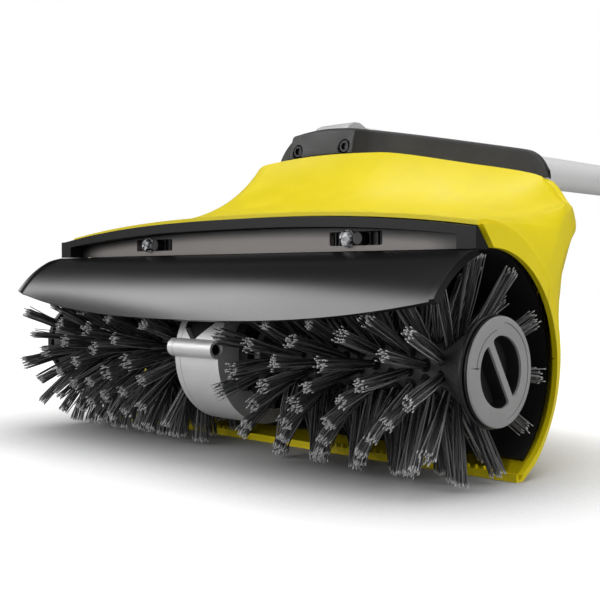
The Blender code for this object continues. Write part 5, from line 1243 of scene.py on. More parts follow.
def arched_bar(name, half, front, back, bottom, top_of, mats, steps=56):
    """A bar across the machine with a straight lower edge and an arched upper one."""
    rings = []
    for k in range(steps + 1):
        x = -half + 2.0 * half * k / steps
        top = top_of(x)
        rings.append([(x, front, bottom), (x, back, bottom), (x, back, top), (x, front, top)])
    return loft(name, rings, mats)


class PATIO_OT_front(bpy.types.Operator):
    """Builds the black frame under the rim, the grey bar in it, and the two spray nozzles"""
    bl_idname = "patio.front"
    bl_label = "Front frame and nozzles"

    def execute(self, context):
        satin, grey, black = [MATERIALS["frame"]], [MATERIALS["bar"]], [MATERIALS["black"]]
        flange_back = RIM_Y - FIT_GAP
        inner_half = HALF_WIDTH - CHEEK_WALL - FIT_GAP
        frame_bars = [arched_bar(name, half, front, back, FRAME_BOTTOM, frame_top, satin)
                      for name, half, front, back in (("frame_shell", HALF_WIDTH, FRAME_FRONT, flange_back),
                                                      ("web", inner_half, flange_back - 0.001, FRAME_BACK))]
        end_top = RIM_Z_END - RIM_HEIGHT - RUN_GAP
        wedge = [(flange_back - 0.001, FRAME_BOTTOM), (OPENING_FRONT - RUN_GAP, FRAME_BOTTOM),
                 (flange_back, end_top - RUN_GAP), (flange_back - 0.001, end_top - RUN_GAP)]
        lug = [(FRAME_FRONT, FRAME_BOTTOM), (FRAME_END_BACK, FRAME_BOTTOM), (FRAME_FRONT + 0.001, end_top),
               (FRAME_FRONT, end_top)]
        plates = []
        for side in (-1, 1):
            for name, outline, near, far in (("end_plate", wedge, inner_half + FIT_GAP, HALF_WIDTH),
                                             ("end_lug", lug, HALF_WIDTH - 0.001, FRAME_HALF)):
                ends = sorted([side * near, side * far])
                plates.append(prism(name, outline, ends[0], ends[1], satin))
        outer = weld(*frame_bars, *plates)
        carve(outer, arched_bar("window", WINDOW_HALF, FRAME_FRONT - 0.01, FRAME_BACK + 0.01,
                                FRAME_BOTTOM - 0.01, window_top, satin))
        soften(outer, context.scene.patio_front.frame_edge, 3)
        dress(outer, "machine", "satin_black_plastic", "front_frame")

        bar = arched_bar("bar_shell", WINDOW_HALF - FIT_GAP, BAR_FRONT, BAR_BACK, FRAME_BOTTOM + FIT_GAP,
                         lambda x: window_top(x) - FIT_GAP, grey)
        low, high = NOZZLE_Z - SLOT_HEIGHT / 2, NOZZLE_Z + SLOT_HEIGHT / 2
        slots, backs = [], []
        for x in (-NOZZLE_X, NOZZLE_X):
            wide = rounded_corners([(x - SLOT_LEFT, low), (x + SLOT_RIGHT, low), (x + SLOT_RIGHT, high),
                                    (x - SLOT_LEFT, high)], 0.0012, 3)
            slots.append(prism("slot", wide, BAR_FRONT - 0.01, BAR_BACK + 0.01, grey, "Y"))
        carve(bar, *slots)
        soften(bar, 0.0007, 3)
        dress(bar, "machine", "grey_plastic", "nozzle_bar")

        for x in (-NOZZLE_X, NOZZLE_X):
            plate = block("slot_back", (x - SLOT_LEFT - 0.002, BAR_BACK + 0.0003, low - 0.0008),
                          (x + SLOT_RIGHT + 0.002, BAR_BACK + 0.0009, high + 0.0008), black)
            stub = rod("stub", (x + STUB_X, 0.0, NOZZLE_Z), BAR_BACK + 0.0003, BAR_FRONT - 0.0022,
                       STUB_RADIUS, black, "Y", 32)
            webs = [block("web", (x + dx - SLOT_WEB_HALF, BAR_BACK - 0.0016, low - 0.0004),
                          (x + dx + SLOT_WEB_HALF, BAR_BACK + 0.0006, high + 0.0004), black)
                    for dx in SLOT_WEBS]
            backs.append(soften(weld(plate, stub, *webs), 0.0002, 1))
        dress(gather("slot_backs", backs), "machine", "black_plastic")

        head = BAR_FRONT - FIT_GAP
        root = BAR_BACK + 0.0002
        brow = NOZZLE_RADIUS - 0.0003
        dome = bezier((NOZZLE_FRONT, 0.0), (NOZZLE_FRONT, 0.0032), (NOZZLE_FRONT + 0.0006, brow),
                      (head - 0.0006, brow), 10)
        profile = [(root, 0.0)] + dome + [(head - 0.0006, NOZZLE_RADIUS), (head, NOZZLE_RADIUS),
                                          (head, NOZZLE_STEM_RADIUS), (root, NOZZLE_STEM_RADIUS)]
        for label, side in SIDES:
            x = side * NOZZLE_X
            nozzle = turned("nozzle_head_" + label, profile, (x, 0.0, NOZZLE_Z), [MATERIALS["nozzle"]], "Y",
                            40)
            carve(nozzle, block("slit", (x - 0.0030, NOZZLE_FRONT - 0.001, NOZZLE_Z - 0.0003),
                                (x + 0.0030, NOZZLE_FRONT + 0.0007, NOZZLE_Z + 0.0003), black))
            dress(smooth(nozzle), "machine", "nozzle_metal", "nozzle_" + label)
        return {"FINISHED"}


def lip_point(x):
    """The guard's lower lip: lowest and furthest forward in the middle."""
    share = abs(x) / GUARD_HALF
    return (lerp(GUARD_LIP_Y_MID, GUARD_LIP_Y_END, share ** 1.6),
            lerp(GUARD_LIP_Z_MID, GUARD_LIP_Z_END, share ** 2.6))


class PATIO_OT_guard(bpy.types.Operator):
    """Builds the curved splash guard with its thicker ends"""
    bl_idname = "patio.guard"
    bl_label = "Splash guard"

    def execute(self, context):
        sizes = context.scene.patio_front
        across, down = 96, 22
        rib_start = GUARD_HALF - 0.0030
        xs = [-rib_start + 2.0 * rib_start * i / across for i in range(across + 1)]
        ends = [rib_start + 0.0002, GUARD_HALF]
        xs = [-x for x in reversed(ends)] + xs + ends
        rings = []
        for x in xs:
            y, z = lip_point(x)
            lip_radius = math.hypot(y, z - AXIS_Z)
            lip_angle = math.atan2(z - AXIS_Z, y)
            # The thicker end stands outwards: inside it must let the brushes slide out
            at_end = abs(x) > rib_start
            wall = sizes.guard_wall + (GUARD_RIB_INSIDE if at_end else 0.0)
            outer, inner = [], []
            for k in range(down + 1):
                share = k / down
                angle = lerp(GUARD_TOP_ANGLE, lip_angle, share)
                radius = lerp(GUARD_TOP_RADIUS, lip_radius, share ** 2)
                c, s = math.cos(angle), math.sin(angle)
                rise = sizes.guard_rib * min(1.0, 4.0 * share) if at_end else 0.0
                outer.append((x, (radius + rise) * c, AXIS_Z + (radius + rise) * s))
                inner.append((x, (radius - wall) * c, AXIS_Z + (radius - wall) * s))
            rings.append(outer + inner[::-1])
        guard = loft("guard_shell", rings, [MATERIALS["satin"]])
        soften(guard, 0.0007, 3, math.radians(50.0))
        dress(guard, "splash_guard", "satin_black_plastic", "splash_guard")
        return {"FINISHED"}


class PATIO_OT_chamber(bpy.types.Operator):
    """Builds the black liner behind the rollers"""
    bl_idname = "patio.chamber"
    bl_label = "Brush chamber"

    def execute(self, context):
        mats = [MATERIALS["liner"]]
        outer = CHAMBER_INNER + CHAMBER_WALL
        front = math.acos((FRAME_BACK + FIT_GAP) / outer)
        axis = (0.0, AXIS_Z)
        outline = arc(axis, outer, CHAMBER_FOOT_ANGLE, front, 64) + arc(axis, CHAMBER_INNER, front,
                                                                         CHAMBER_FOOT_ANGLE, 64)
        half = HALF_WIDTH - CHEEK_WALL - FIT_GAP
        liner = prism("chamber_liner", outline, -half, half, mats)
        gap = ARM_HALF + FIT_GAP
        carve(liner, prism("slot", belt_outline(axis, ARM_RADIUS + RUN_GAP, (MOTOR_Y, MOTOR_Z),
                                                ARM_TOP_RADIUS + RUN_GAP), -gap, gap, mats))
        dress(smooth(liner), "machine", "black_plastic", "brush_chamber")
        return {"FINISHED"}


# Arm and hubs

def arm_section(inset):
    return belt_outline((0.0, AXIS_Z), ARM_RADIUS - inset, (MOTOR_Y, MOTOR_Z), ARM_TOP_RADIUS - inset)


class PATIO_OT_arm(bpy.types.Operator):
    """Builds the two cast halves of the arm between the rollers, with the boss and the notch on its front"""
    bl_idname = "patio.arm"
    bl_label = "Gearbox arm"

    def execute(self, context):
        mats = [MATERIALS["alloy"], MATERIALS["liner"]]
        plain = [MATERIALS["alloy"]]
        boss = (0.0, BOSS_Y, BOSS_Z)
        bore, ring = BEARING_RADIUS + FIT_GAP, BEARING_RADIUS + 0.003
        left = -ARM_HALF + ARM_COVER + FIT_GAP
        notch_floor = ARM_RADIUS - NOTCH_DEPTH
        body = prism("arm_body", arm_section(0.0), left, ARM_HALF, mats)
        carve(body, prism("cavity", arm_section(ARM_WALL), left - 0.01, ARM_HALF - ARM_WALL, plain))
        seat = ARM_HALF - BEARING_WIDTH - FIT_GAP
        weld(body, tube("seat", AXIS, seat, ARM_HALF - ARM_WALL + 0.0005, ring, bore, plain))
        carve(body, rod("bore", AXIS, seat - 0.001, ARM_HALF + 0.01, bore, plain))
        notch = prism("notch", NOTCH_OUTLINE, -0.06, -0.010, plain, "Y")
        carve(notch, rod("floor", AXIS, -0.05, 0.05, notch_floor, plain, "X", 120))
        carve(body, notch)
        # Painted shade: the notch's floor takes the black liner, as if it went on into the arm
        for face in body.data.polygons:
            middle = face.center
            reach = math.hypot(middle.y - TO_FOOT, middle.z - AXIS_Z)
            if (abs(reach - notch_floor) < 0.0003 and middle.z > 0.0600 and middle.y < TO_FOOT
                    and -0.0130 < middle.x < 0.0155):
                face.material_index = 1
        weld(body, rod("boss", boss, left, ARM_HALF, BOSS_RADIUS, plain, "X", 40))
        narrow, wide = SCREW_HEAD_RADIUS - 0.0008, SCREW_HEAD_RADIUS + 0.0004
        sink = [(ARM_HALF - 0.0040, 0.0), (ARM_HALF - 0.0040, narrow), (ARM_HALF - 0.0006, narrow),
                (ARM_HALF + 0.0004, wide), (ARM_HALF + 0.01, wide), (ARM_HALF + 0.01, 0.0)]
        carve(body, turned("sink", sink, boss, plain, "X", 32))
        soften(body, 0.0010, 3, math.radians(38.0))
        dress(body, "machine", "cast_aluminium", "gearbox_body")

        right = -ARM_HALF + ARM_COVER
        cover = prism("arm_cover", arm_section(0.0), -ARM_HALF, right, plain)
        weld(cover, turned("boss", [(right, 0.0), (right, BOSS_RADIUS), (-ARM_HALF - 0.0002, BOSS_RADIUS),
                                    (-ARM_HALF - 0.0016, BOSS_RADIUS - 0.0016), (-ARM_HALF - 0.0016, 0.0)],
                           boss, plain, "X", 40))
        seat = -ARM_HALF + BEARING_WIDTH + FIT_GAP
        weld(cover, tube("seat", AXIS, right - 0.0005, seat, ring, bore, plain))
        carve(cover, rod("bore", AXIS, -ARM_HALF - 0.01, seat + 0.001, bore, plain))
        soften(cover, 0.0008, 3, math.radians(38.0))
        dress(cover, "machine", "cast_aluminium", "gearbox_cover")
        return {"FINISHED"}


class PATIO_OT_hubs(bpy.types.Operator):
    """Builds the two castellated hubs that turn the rollers"""
    bl_idname = "patio.hubs"
    bl_label = "Drive hubs"

    def execute(self, context):
        mats = [MATERIALS["black"]]
        for label, side in SIDES:
            near = side * (ARM_HALF + RUN_GAP)
            far = side * (ARM_HALF + RUN_GAP + DOG_THICKNESS)
            hub = tube("hub_" + label, AXIS, near, far, DOG_RADIUS, SHAFT_RADIUS + FIT_GAP, mats)
            lugs = []
            for k in range(DOG_LUGS):
                lug = block("lug", (min(near, far), -DOG_LUG_WIDTH / 2, DOG_RADIUS - 0.002),
                            (max(near, far), DOG_LUG_WIDTH / 2, DOG_LUG_RADIUS), mats)
                turn = Matrix.Rotation(2.0 * math.pi * k / DOG_LUGS, 4, "X")
                move = Matrix.Translation((0.0, TO_FOOT, AXIS_Z))
                lug.data.transform(move @ turn @ Matrix.Translation((0.0, -TO_FOOT, 0.0)))
                lugs.append(lug)
            weld(hub, *lugs)
            soften(hub, 0.0006, 2)
            dress(hub, "brush_drive", "black_plastic", "drive_dog_" + label)
        return {"FINISHED"}


# Rollers

def bristle_tree(strand_material, socket_painted_shade):
    """Tufts of bent strands in staggered rings on the core, with a socket cup under each tuft painted dark as
    shade.
    """
    tree, given = new_tree("roller_bristles", {
        "Core": None, "Rows": 9, "Tufts": 9, "Strands": 38, "Seed": 4, "Side": 1.0, "Start": TUFT_START,
        "End": TUFT_END, "Core radius": 0.013, "Brush radius": 0.054, "Strand radius": 0.0004,
        "Root spread": 0.0024, "Tip spread": 0.0048, "Twist": 0.2, "End splay": 0.0095,
        "Start splay": 0.0024})

    def work(operation, *values, kind=MATH):
        """Adds a node that works out one number or direction from its inputs in order."""
        return add(tree, kind, values, operation=operation)

    def chance(low, high, number, shift):
        seed = work("ADD", given["Seed"], shift)
        return add(tree, "FunctionNodeRandomValue", {2: low, 3: high, 7: number, 8: seed},
                   data_type="FLOAT").outputs[1]

    def ring_place(number):
        """The share of the way along X, the place along X, and the angle, of a tuft from its number."""
        row = work("FLOOR", work("DIVIDE", number, given["Tufts"]))
        turn = work("MODULO", number, given["Tufts"])
        share = work("DIVIDE", row, work("SUBTRACT", given["Rows"], 1.0))
        x = work("MULTIPLY_ADD", share, work("SUBTRACT", given["End"], given["Start"]), given["Start"])
        half = work("MULTIPLY", work("MODULO", row, 2.0), 0.5)
        step = work("DIVIDE", 2.0 * math.pi, given["Tufts"])
        angle = work("MULTIPLY", work("ADD", turn, half), step)
        return share, x, work("MULTIPLY_ADD", row, given["Twist"], angle)

    index = add(tree, "GeometryNodeInputIndex").outputs[0]
    total = work("MULTIPLY", work("MULTIPLY", given["Rows"], given["Tufts"]), given["Strands"])
    tuft = work("FLOOR", work("DIVIDE", index, given["Strands"]))
    number = work("MODULO", index, given["Strands"])
    share, x, angle = ring_place(tuft)
    cosine, sine = work("COSINE", angle), work("SINE", angle)
    spread = work("SQRT", work("DIVIDE", work("ADD", number, 0.5), given["Strands"]))
    turn = work("MULTIPLY_ADD", number, GOLDEN_TURN, chance(0.0, 6.28, tuft, 1))
    across = work("MULTIPLY", spread, work("COSINE", turn))
    around = work("MULTIPLY", spread, work("SINE", turn))
    last = work("MAXIMUM", work("MULTIPLY_ADD", share, 4.0, -3.0), 0.0)
    first = work("MAXIMUM", work("MULTIPLY_ADD", share, -4.0, 1.0), 0.0)
    splay = work("SUBTRACT", work("MULTIPLY", last, given["End splay"]),
                 work("MULTIPLY", first, given["Start splay"]))

    def point(radius, spread_size, extra_x, extra_around):
        """A point at a radius from the axis, moved across and around by the strand's place in its tuft."""
        px = work("ADD", work("MULTIPLY_ADD", across, spread_size, x), extra_x)
        side_step = work("MULTIPLY_ADD", around, spread_size, extra_around)
        py = work("SUBTRACT", work("MULTIPLY", cosine, radius), work("MULTIPLY", sine, side_step))
        pz = work("ADD", work("MULTIPLY", sine, radius), work("MULTIPLY", cosine, side_step))
        return add(tree, COMBINE, [work("MULTIPLY", px, given["Side"]), work("ADD", py, TO_FOOT),
                                   work("ADD", pz, AXIS_Z)])

    reach = work("SUBTRACT", given["Brush radius"], chance(0.0, 0.0016, index, 2))
    fan = work("MULTIPLY", given["Tip spread"], chance(0.70, 1.25, tuft, 3))
    tip_x = work("ADD", work("ADD", splay, chance(-0.0012, 0.0012, tuft, 4)),
                 chance(-0.0011, 0.0011, index, 5))
    tip_around = work("ADD", chance(-0.0022, 0.0022, tuft, 6), chance(-0.0011, 0.0011, index, 7))
    root = point(work("SUBTRACT", given["Core radius"], 0.0012), given["Root spread"], 0.0, 0.0)
    dip = work("MULTIPLY", work("ABSOLUTE", tip_around), 0.5)
    tip = point(work("SUBTRACT", reach, dip), fan, tip_x, tip_around)
    lean = work("SUBTRACT", tip, root, kind="ShaderNodeVectorMath")
    length = work("LENGTH", lean, kind="ShaderNodeVectorMath").outputs["Value"]
    points = add(tree, "GeometryNodePoints", {"Count": total, "Position": root})

    strand = add(tree, "GeometryNodeMeshCylinder",
                 {"Vertices": 4, "Side Segments": 4, "Radius": given["Strand radius"], "Depth": 1.0},
                 fill_type="NGON")
    axes = add(tree, SEPARATE, [add(tree, "GeometryNodeInputPosition")])
    height = work("ADD", axes.outputs[2], 0.5)
    # A strand bows by a millimetre or so, most of it past its middle
    bow = work("MULTIPLY", work("MULTIPLY", height, work("SUBTRACT", height, 1.0)), 0.0036)
    marked = add(tree, "GeometryNodeStoreNamedAttribute",
                 {"Geometry": strand.outputs["Mesh"], "Name": "along", "Value": height},
                 data_type="FLOAT", domain="POINT")
    rounded = add(tree, "GeometryNodeSetShadeSmooth", {0: marked, 1: strand.outputs["Side"], 2: True},
                  domain="FACE")
    bow_place = add(tree, COMBINE, [work("ADD", axes.outputs[0], bow), axes.outputs[1], height])
    bent = add(tree, "GeometryNodeSetPosition", {"Geometry": rounded, "Position": bow_place})
    aim = add(tree, AIM, {"Vector": lean}, axis="Z")
    spin = add(tree, "FunctionNodeAxisAngleToRotation",
               {"Axis": (0.0, 0.0, 1.0), "Angle": chance(0.0, 6.28, index, 8)})
    turned_aim = add(tree, "FunctionNodeRotateRotation", {"Rotation": aim, "Rotate By": spin},
                     rotation_space="LOCAL")
    strands = add(tree, INSTANCES, {"Points": points, "Instance": bent, "Rotation": turned_aim,
                                    "Scale": add(tree, COMBINE, [1.0, 1.0, length])})
    shaded = add(tree, "GeometryNodeStoreNamedAttribute",
                 {"Geometry": strands, "Name": "shade", "Value": chance(0.0, 1.0, index, 9)},
                 data_type="FLOAT", domain="INSTANCE")

    _, socket_x, socket_angle = ring_place(add(tree, "GeometryNodeInputIndex"))
    socket_radius = work("SUBTRACT", given["Core radius"], 0.0008)
    socket_cos, socket_sin = work("COSINE", socket_angle), work("SINE", socket_angle)
    socket_point = add(tree, COMBINE, [work("MULTIPLY", socket_x, given["Side"]),
                                       work("MULTIPLY_ADD", socket_cos, socket_radius, TO_FOOT),
                                       work("MULTIPLY_ADD", socket_sin, socket_radius, AXIS_Z)])
    socket_points = add(tree, "GeometryNodePoints", {"Count": work("MULTIPLY", given["Rows"], given["Tufts"]),
                                                     "Position": socket_point})
    # The cups are painted near black, standing in for the shade deep in the tuft sockets
    cup = add(tree, "GeometryNodeMeshCone",
              {"Vertices": 14, "Radius Top": 0.0022, "Radius Bottom": 0.0036, "Depth": 0.0026},
              fill_type="NGON")
    socket_aim = add(tree, AIM, {"Vector": add(tree, COMBINE, [0.0, socket_cos, socket_sin])}, axis="Z")
    cups = add(tree, INSTANCES, {"Points": socket_points, "Instance": cup, "Rotation": socket_aim})
    joined = add(tree, "GeometryNodeJoinGeometry")
    for piece in (given["Core"], made_real(tree, shaded, strand_material),
                  made_real(tree, cups, socket_painted_shade)):
        feed(joined, {0: piece})
    add(tree, "NodeGroupOutput", {"Geometry": joined})
    return tree


class PATIO_OT_rollers(bpy.types.Operator):
    """Builds the two rollers: a flared core with staggered tufts of nylon strands"""
    bl_idname = "patio.rollers"
    bl_label = "Bristle rollers"

    def execute(self, context):
        sizes = context.scene.patio_roller
        tree = bristle_tree(MATERIALS["bristle"], MATERIALS["socket"])
        flare_start = CORE_END - FLARE_LENGTH
        bore = SHAFT_RADIUS + RUN_GAP / 2
        plug = CAP_PLUG_RADIUS + FIT_GAP
        floor = SHAFT_HALF_LENGTH + 0.001
        plug_floor = CORE_END - CAP_PLUG_LENGTH - RUN_GAP
        cup_floor = CORE_END - CAP_CUP_DEPTH - RUN_GAP
        cup = CAP_CUP_RADIUS + RUN_GAP
        step_end = CORE_START + CORE_STEP
        flare = bezier((CORE_END - 0.0015, FLARE_RADIUS - 0.0006), (CORE_END - 0.009, FLARE_RADIUS - 0.006),
                       (flare_start + 0.007, sizes.core_radius), (flare_start, sizes.core_radius), 12)
        profile = [(CORE_START, bore), (floor, bore), (floor, 0.0), (plug_floor, 0.0), (plug_floor, plug),
                   (cup_floor, plug), (cup_floor, cup), (CORE_END, cup), (CORE_END, FLARE_RADIUS)] + flare
        profile += [(step_end + 0.002, sizes.core_radius), (step_end, sizes.core_radius + 0.002),
                    (step_end, DOG_RADIUS - 0.0035), (step_end - 0.0006, DOG_RADIUS - 0.003),
                    (CORE_START, DOG_RADIUS - 0.003)]
        for label, side in SIDES:
            core = turned("core", [(side * a, r) for a, r in profile], AXIS, [MATERIALS["core"]], "X", 72)
            roller = from_tree("bristles_" + label, tree, {
                "Rows": sizes.rows, "Tufts": sizes.tufts, "Strands": sizes.strands, "Seed": sizes.seed + side,
                "Side": float(side), "Core radius": sizes.core_radius, "Brush radius": sizes.brush_radius,
                "Strand radius": sizes.strand_radius, "Root spread": sizes.root_spread,
                "Tip spread": sizes.tip_spread, "Twist": sizes.twist}, smooth(core).data.copy())
            bpy.data.objects.remove(core, do_unlink=True)
            dress(roller, "roller_" + label, "bristle_nylon", "roller_" + label)
        return {"FINISHED"}


# End caps

def half_moon(sign, radius, bar, tilt, steps=20):
    """One finger recess of the cap, on one side of the grip bar, with its two corners rounded."""
    normal = tilt + (0.0 if sign > 0 else math.pi)
    half = math.acos(bar / 2 / radius)
    points = [(radius * math.cos(normal + a), radius * math.sin(normal + a))
              for a in (-half + 2.0 * half * k / steps for k in range(steps + 1))]
    middle = points[2:-2]
    first, last = Vector(points[0]), Vector(points[-1])
    edge = (last - first).normalized()
    start = bezier(tuple(first + edge * RECESS_CORNER), tuple(first + edge * RECESS_CORNER * 0.4),
                   tuple(first), middle[0], 5)
    end = bezier(middle[-1], tuple(last), tuple(last - edge * RECESS_CORNER * 0.4),
                 tuple(last - edge * RECESS_CORNER), 5)
    return start[:-1] + middle + end[1:]


class PATIO_OT_end_caps(bpy.types.Operator):
    """Builds the two turn-to-lock caps: a stepped black body under a grained grey plate"""
    bl_idname = "patio.end_caps"
    bl_label = "End caps"

    def execute(self, context):
        sizes = context.scene.patio_cap
        black, grey = [MATERIALS["black"]], [MATERIALS["cap"]]
        plug_end = CORE_END - CAP_PLUG_LENGTH
        flange = CORE_END + FIT_GAP
        flange_end = flange + CAP_FLANGE_DEPTH
        face_start = CAP_FACE - CAP_FACE_DEPTH
        waist = CAP_RADIUS - 0.0016
        cup = flange - CAP_CUP_DEPTH
        back = CAP_FACE - sizes.plate
        body_profile = [
            (plug_end, 0.0), (plug_end, CAP_PLUG_RADIUS), (cup, CAP_PLUG_RADIUS), (cup, CAP_CUP_RADIUS),
            (flange, CAP_CUP_RADIUS), (flange, CAP_FLANGE_RADIUS - 0.0004),
            (flange + 0.0004, CAP_FLANGE_RADIUS), (flange_end - 0.0006, CAP_FLANGE_RADIUS),
            (flange_end, CAP_FLANGE_RADIUS - 0.0006), (flange_end, waist), (face_start, waist),
            (face_start, CAP_RADIUS - 0.0004), (face_start + 0.0004, CAP_RADIUS), (back - 0.0003, CAP_RADIUS),
            (back - 0.0003, CAP_RADIUS - 0.0010), (back, CAP_RADIUS - 0.0010), (back, 0.0)]
        plate_profile = [
            (back, 0.0), (back, CAP_RADIUS - 0.0002), (CAP_FACE - 0.0007, CAP_RADIUS - 0.0002),
            (CAP_FACE - 0.0002, CAP_RADIUS - 0.0004), (CAP_FACE, CAP_RADIUS - 0.0009), (CAP_FACE, 0.0)]
        near, far = CAP_FACE - GRIP_DEPTH, CAP_FACE + 0.01
        for label, side in SIDES:
            body, plate = [turned(name, [(side * a, r) for a, r in profile], AXIS, mats, "X", 120)
                           for name, profile, mats in (("cap_body", body_profile, black),
                                                       ("cap_plate", plate_profile, grey))]
            for sign in (-1, 1):
                mouth, floor = [[(y, z + AXIS_Z) for y, z in half_moon(sign, circle, bar, sizes.tilt)]
                                for circle, bar in ((sizes.grip_circle, sizes.grip_bar),
                                                    (sizes.grip_circle - 0.0010, sizes.grip_bar + 0.0022))]
                rings = [[(side * x, y, z) for y, z in ring]
                         for x, ring in ((near, floor), (CAP_FACE, mouth), (far, mouth))]
                carve(body, loft("recess", rings, black))
                carve(plate, loft("recess", rings, grey))
            grooves = []
            for radius, *ends in CAP_GROOVES:
                start, end = [math.radians(angle) for angle in ends]
                track = (arc((0.0, AXIS_Z), radius + sizes.groove / 2, start, end, 40)
                         + arc((0.0, AXIS_Z), radius - sizes.groove / 2, end, start, 40))
                grooves.append(prism("groove", track, side * (CAP_FACE - 0.0006), side * far, grey))
            carve(plate, *grooves)
            soften(plate, 0.00025, 2)
            soften(body, 0.00025, 1)
            cap = gather("cap_" + label, [body, plate])
            dress(cap, "end_cap_" + label, "cap_plastic", "end_cap_" + label)
        return {"FINISHED"}


# Handle and water fittings

def softened_copy(node_name, body, slot, finish, width):
    """A copy of a solid with doubled points merged and edges rounded, which takes the solid's place."""
    node = frame["nodes"][node_name]
    bm = bmesh.new()
    bm.from_mesh(node.data)
    bm.transform(node.matrix_world)
    bmesh.ops.remove_doubles(bm, verts=bm.verts, dist=SAME_POINT)
    bmesh.ops.recalc_face_normals(bm, faces=bm.faces)
    turn_outwards(bm)
    bmesh.ops.dissolve_limit(bm, angle_limit=math.radians(1.0), verts=bm.verts, edges=bm.edges)
    name = node_name + "_softened"
    obj = soften(in_scene(name, mesh_of(name, bm, [MATERIALS[finish]])), width, 3, math.radians(32.0))
    return dress(obj, body, slot, node_name)


class PATIO_OT_handle(bpy.types.Operator):
    """Builds the handle's two tubes, and rounds the edges of its moulded pieces and the water fittings"""
    bl_idname = "patio.handle"
    bl_label = "Handle and fittings"

    def execute(self, context):
        for name, body, start, end, radius, wall, sides in (
                ("lower_tube", "handle", TUBE_START, TUBE_END, TUBE_RADIUS, TUBE_WALL, 96),
                ("upper_tube", "telescope", UPPER_TUBE_START, UPPER_TUBE_END, UPPER_TUBE_RADIUS,
                 UPPER_TUBE_WALL, 88)):
            made = tube(name + "_shell", (0.0, 0.0, HINGE_Z), start, end, radius, radius - wall,
                        [MATERIALS["tube"]], "Y", sides)
            dress(soften(made, 0.0003, 2), body, "tube_aluminium", name)
        for name, body, slot, finish, width in (
                ("handle_knuckle", "handle", "black_plastic", "knuckle", 0.0010),
                ("clamp_collar", "handle", "black_plastic", "black", 0.0008),
                ("clamp_lever", "clamp_lever", "black_plastic", "black", 0.0006),
                ("grip_left", "telescope", "black_plastic", "soft", 0.0008),
                ("grip_right", "telescope", "black_plastic", "soft", 0.0008),
                ("trigger", "trigger", "accent_plastic", "yellow", 0.0008),
                ("lock_button", "lock_button", "accent_plastic", "yellow", 0.0005),
                ("cable_gland", "telescope", "rubber", "rubber", 0.0005),
                ("hose_coupling", "machine", "black_plastic", "black", 0.0004),
                ("flow_knob", "flow_knob", "black_plastic", "black", 0.0006)):
            softened_copy(name, body, slot, finish, width)
        return {"FINISHED"}


# Screws

def screw_mesh(name, head_radius, depth, shank, reach, sides=36):
    """One screw along Z with its head's top at the origin: a domed rim round a six-sided socket."""
    bm = bmesh.new()
    turns = [2 * math.pi * k / sides for k in range(sides)]

    def ring(radii, z):
        return [bm.verts.new((r * math.cos(turn), r * math.sin(turn), z)) for r, turn in zip(radii, turns)]

    def wall(pairs):
        for a, b in pairs:
            for k in range(sides):
                bm.faces.new((a[k], b[k], b[(k + 1) % sides], a[(k + 1) % sides]))

    rings = [ring([radius] * sides, z) for radius, z in (
        (head_radius - 0.0006, 0.0), (head_radius, -0.0006), (head_radius, -depth), (shank, -depth),
        (shank, -depth - reach))]
    wall(zip(rings, rings[1:]))
    bm.faces.new(rings[-1][::-1])
    socket = head_radius * SOCKET_SHARE
    flats = [socket * math.cos(math.pi / 6) / math.cos((turn % (math.pi / 3)) - math.pi / 6)
             for turn in turns]
    rim, floor = ring(flats, 0.0), ring(flats, -depth * 0.7)
    wall(((rim, rings[0]), (floor, rim)))
    bm.faces.new(floor)
    bmesh.ops.recalc_face_normals(bm, faces=bm.faces)
    turn_outwards(bm)
    return mesh_of(name, bm)


def screws_on(name, places, head_radius, reach, material):
    """Screws at (point, direction that the head faces) through a node tree, as one plain mesh."""
    tree, given = new_tree(name + "_tree", {"Places": None, "Size": 1.0})
    mesh = screw_mesh(name + "_pattern", head_radius, SCREW_HEAD_DEPTH, SCREW_SHANK_RADIUS, reach)
    pattern = smooth(bpy.data.objects.new(name + "_pattern", mesh), math.radians(30.0))
    heading = add(tree, "GeometryNodeInputNamedAttribute", {"Name": "heading"}, data_type="FLOAT_VECTOR")
    info = add(tree, "GeometryNodeObjectInfo", {"Object": pattern})
    row = add(tree, INSTANCES, {"Points": given["Places"], "Instance": info.outputs["Geometry"],
                                "Rotation": add(tree, AIM, {"Vector": heading}, axis="Z"),
                                "Scale": given["Size"]})
    add(tree, "NodeGroupOutput", {"Geometry": made_real(tree, row, material)})
    mesh = bpy.data.meshes.new(name)
    mesh.from_pydata([(x, y + TO_FOOT, z) for (x, y, z), _ in places], [], [])
    kept = mesh.attributes.new("heading", "FLOAT_VECTOR", "POINT")
    for k, (_, direction) in enumerate(places):
        kept.data[k].vector = direction
    made = from_tree(name, tree, {"Size": 1.0}, mesh)
    bpy.data.objects.remove(pattern, do_unlink=True)
    return made


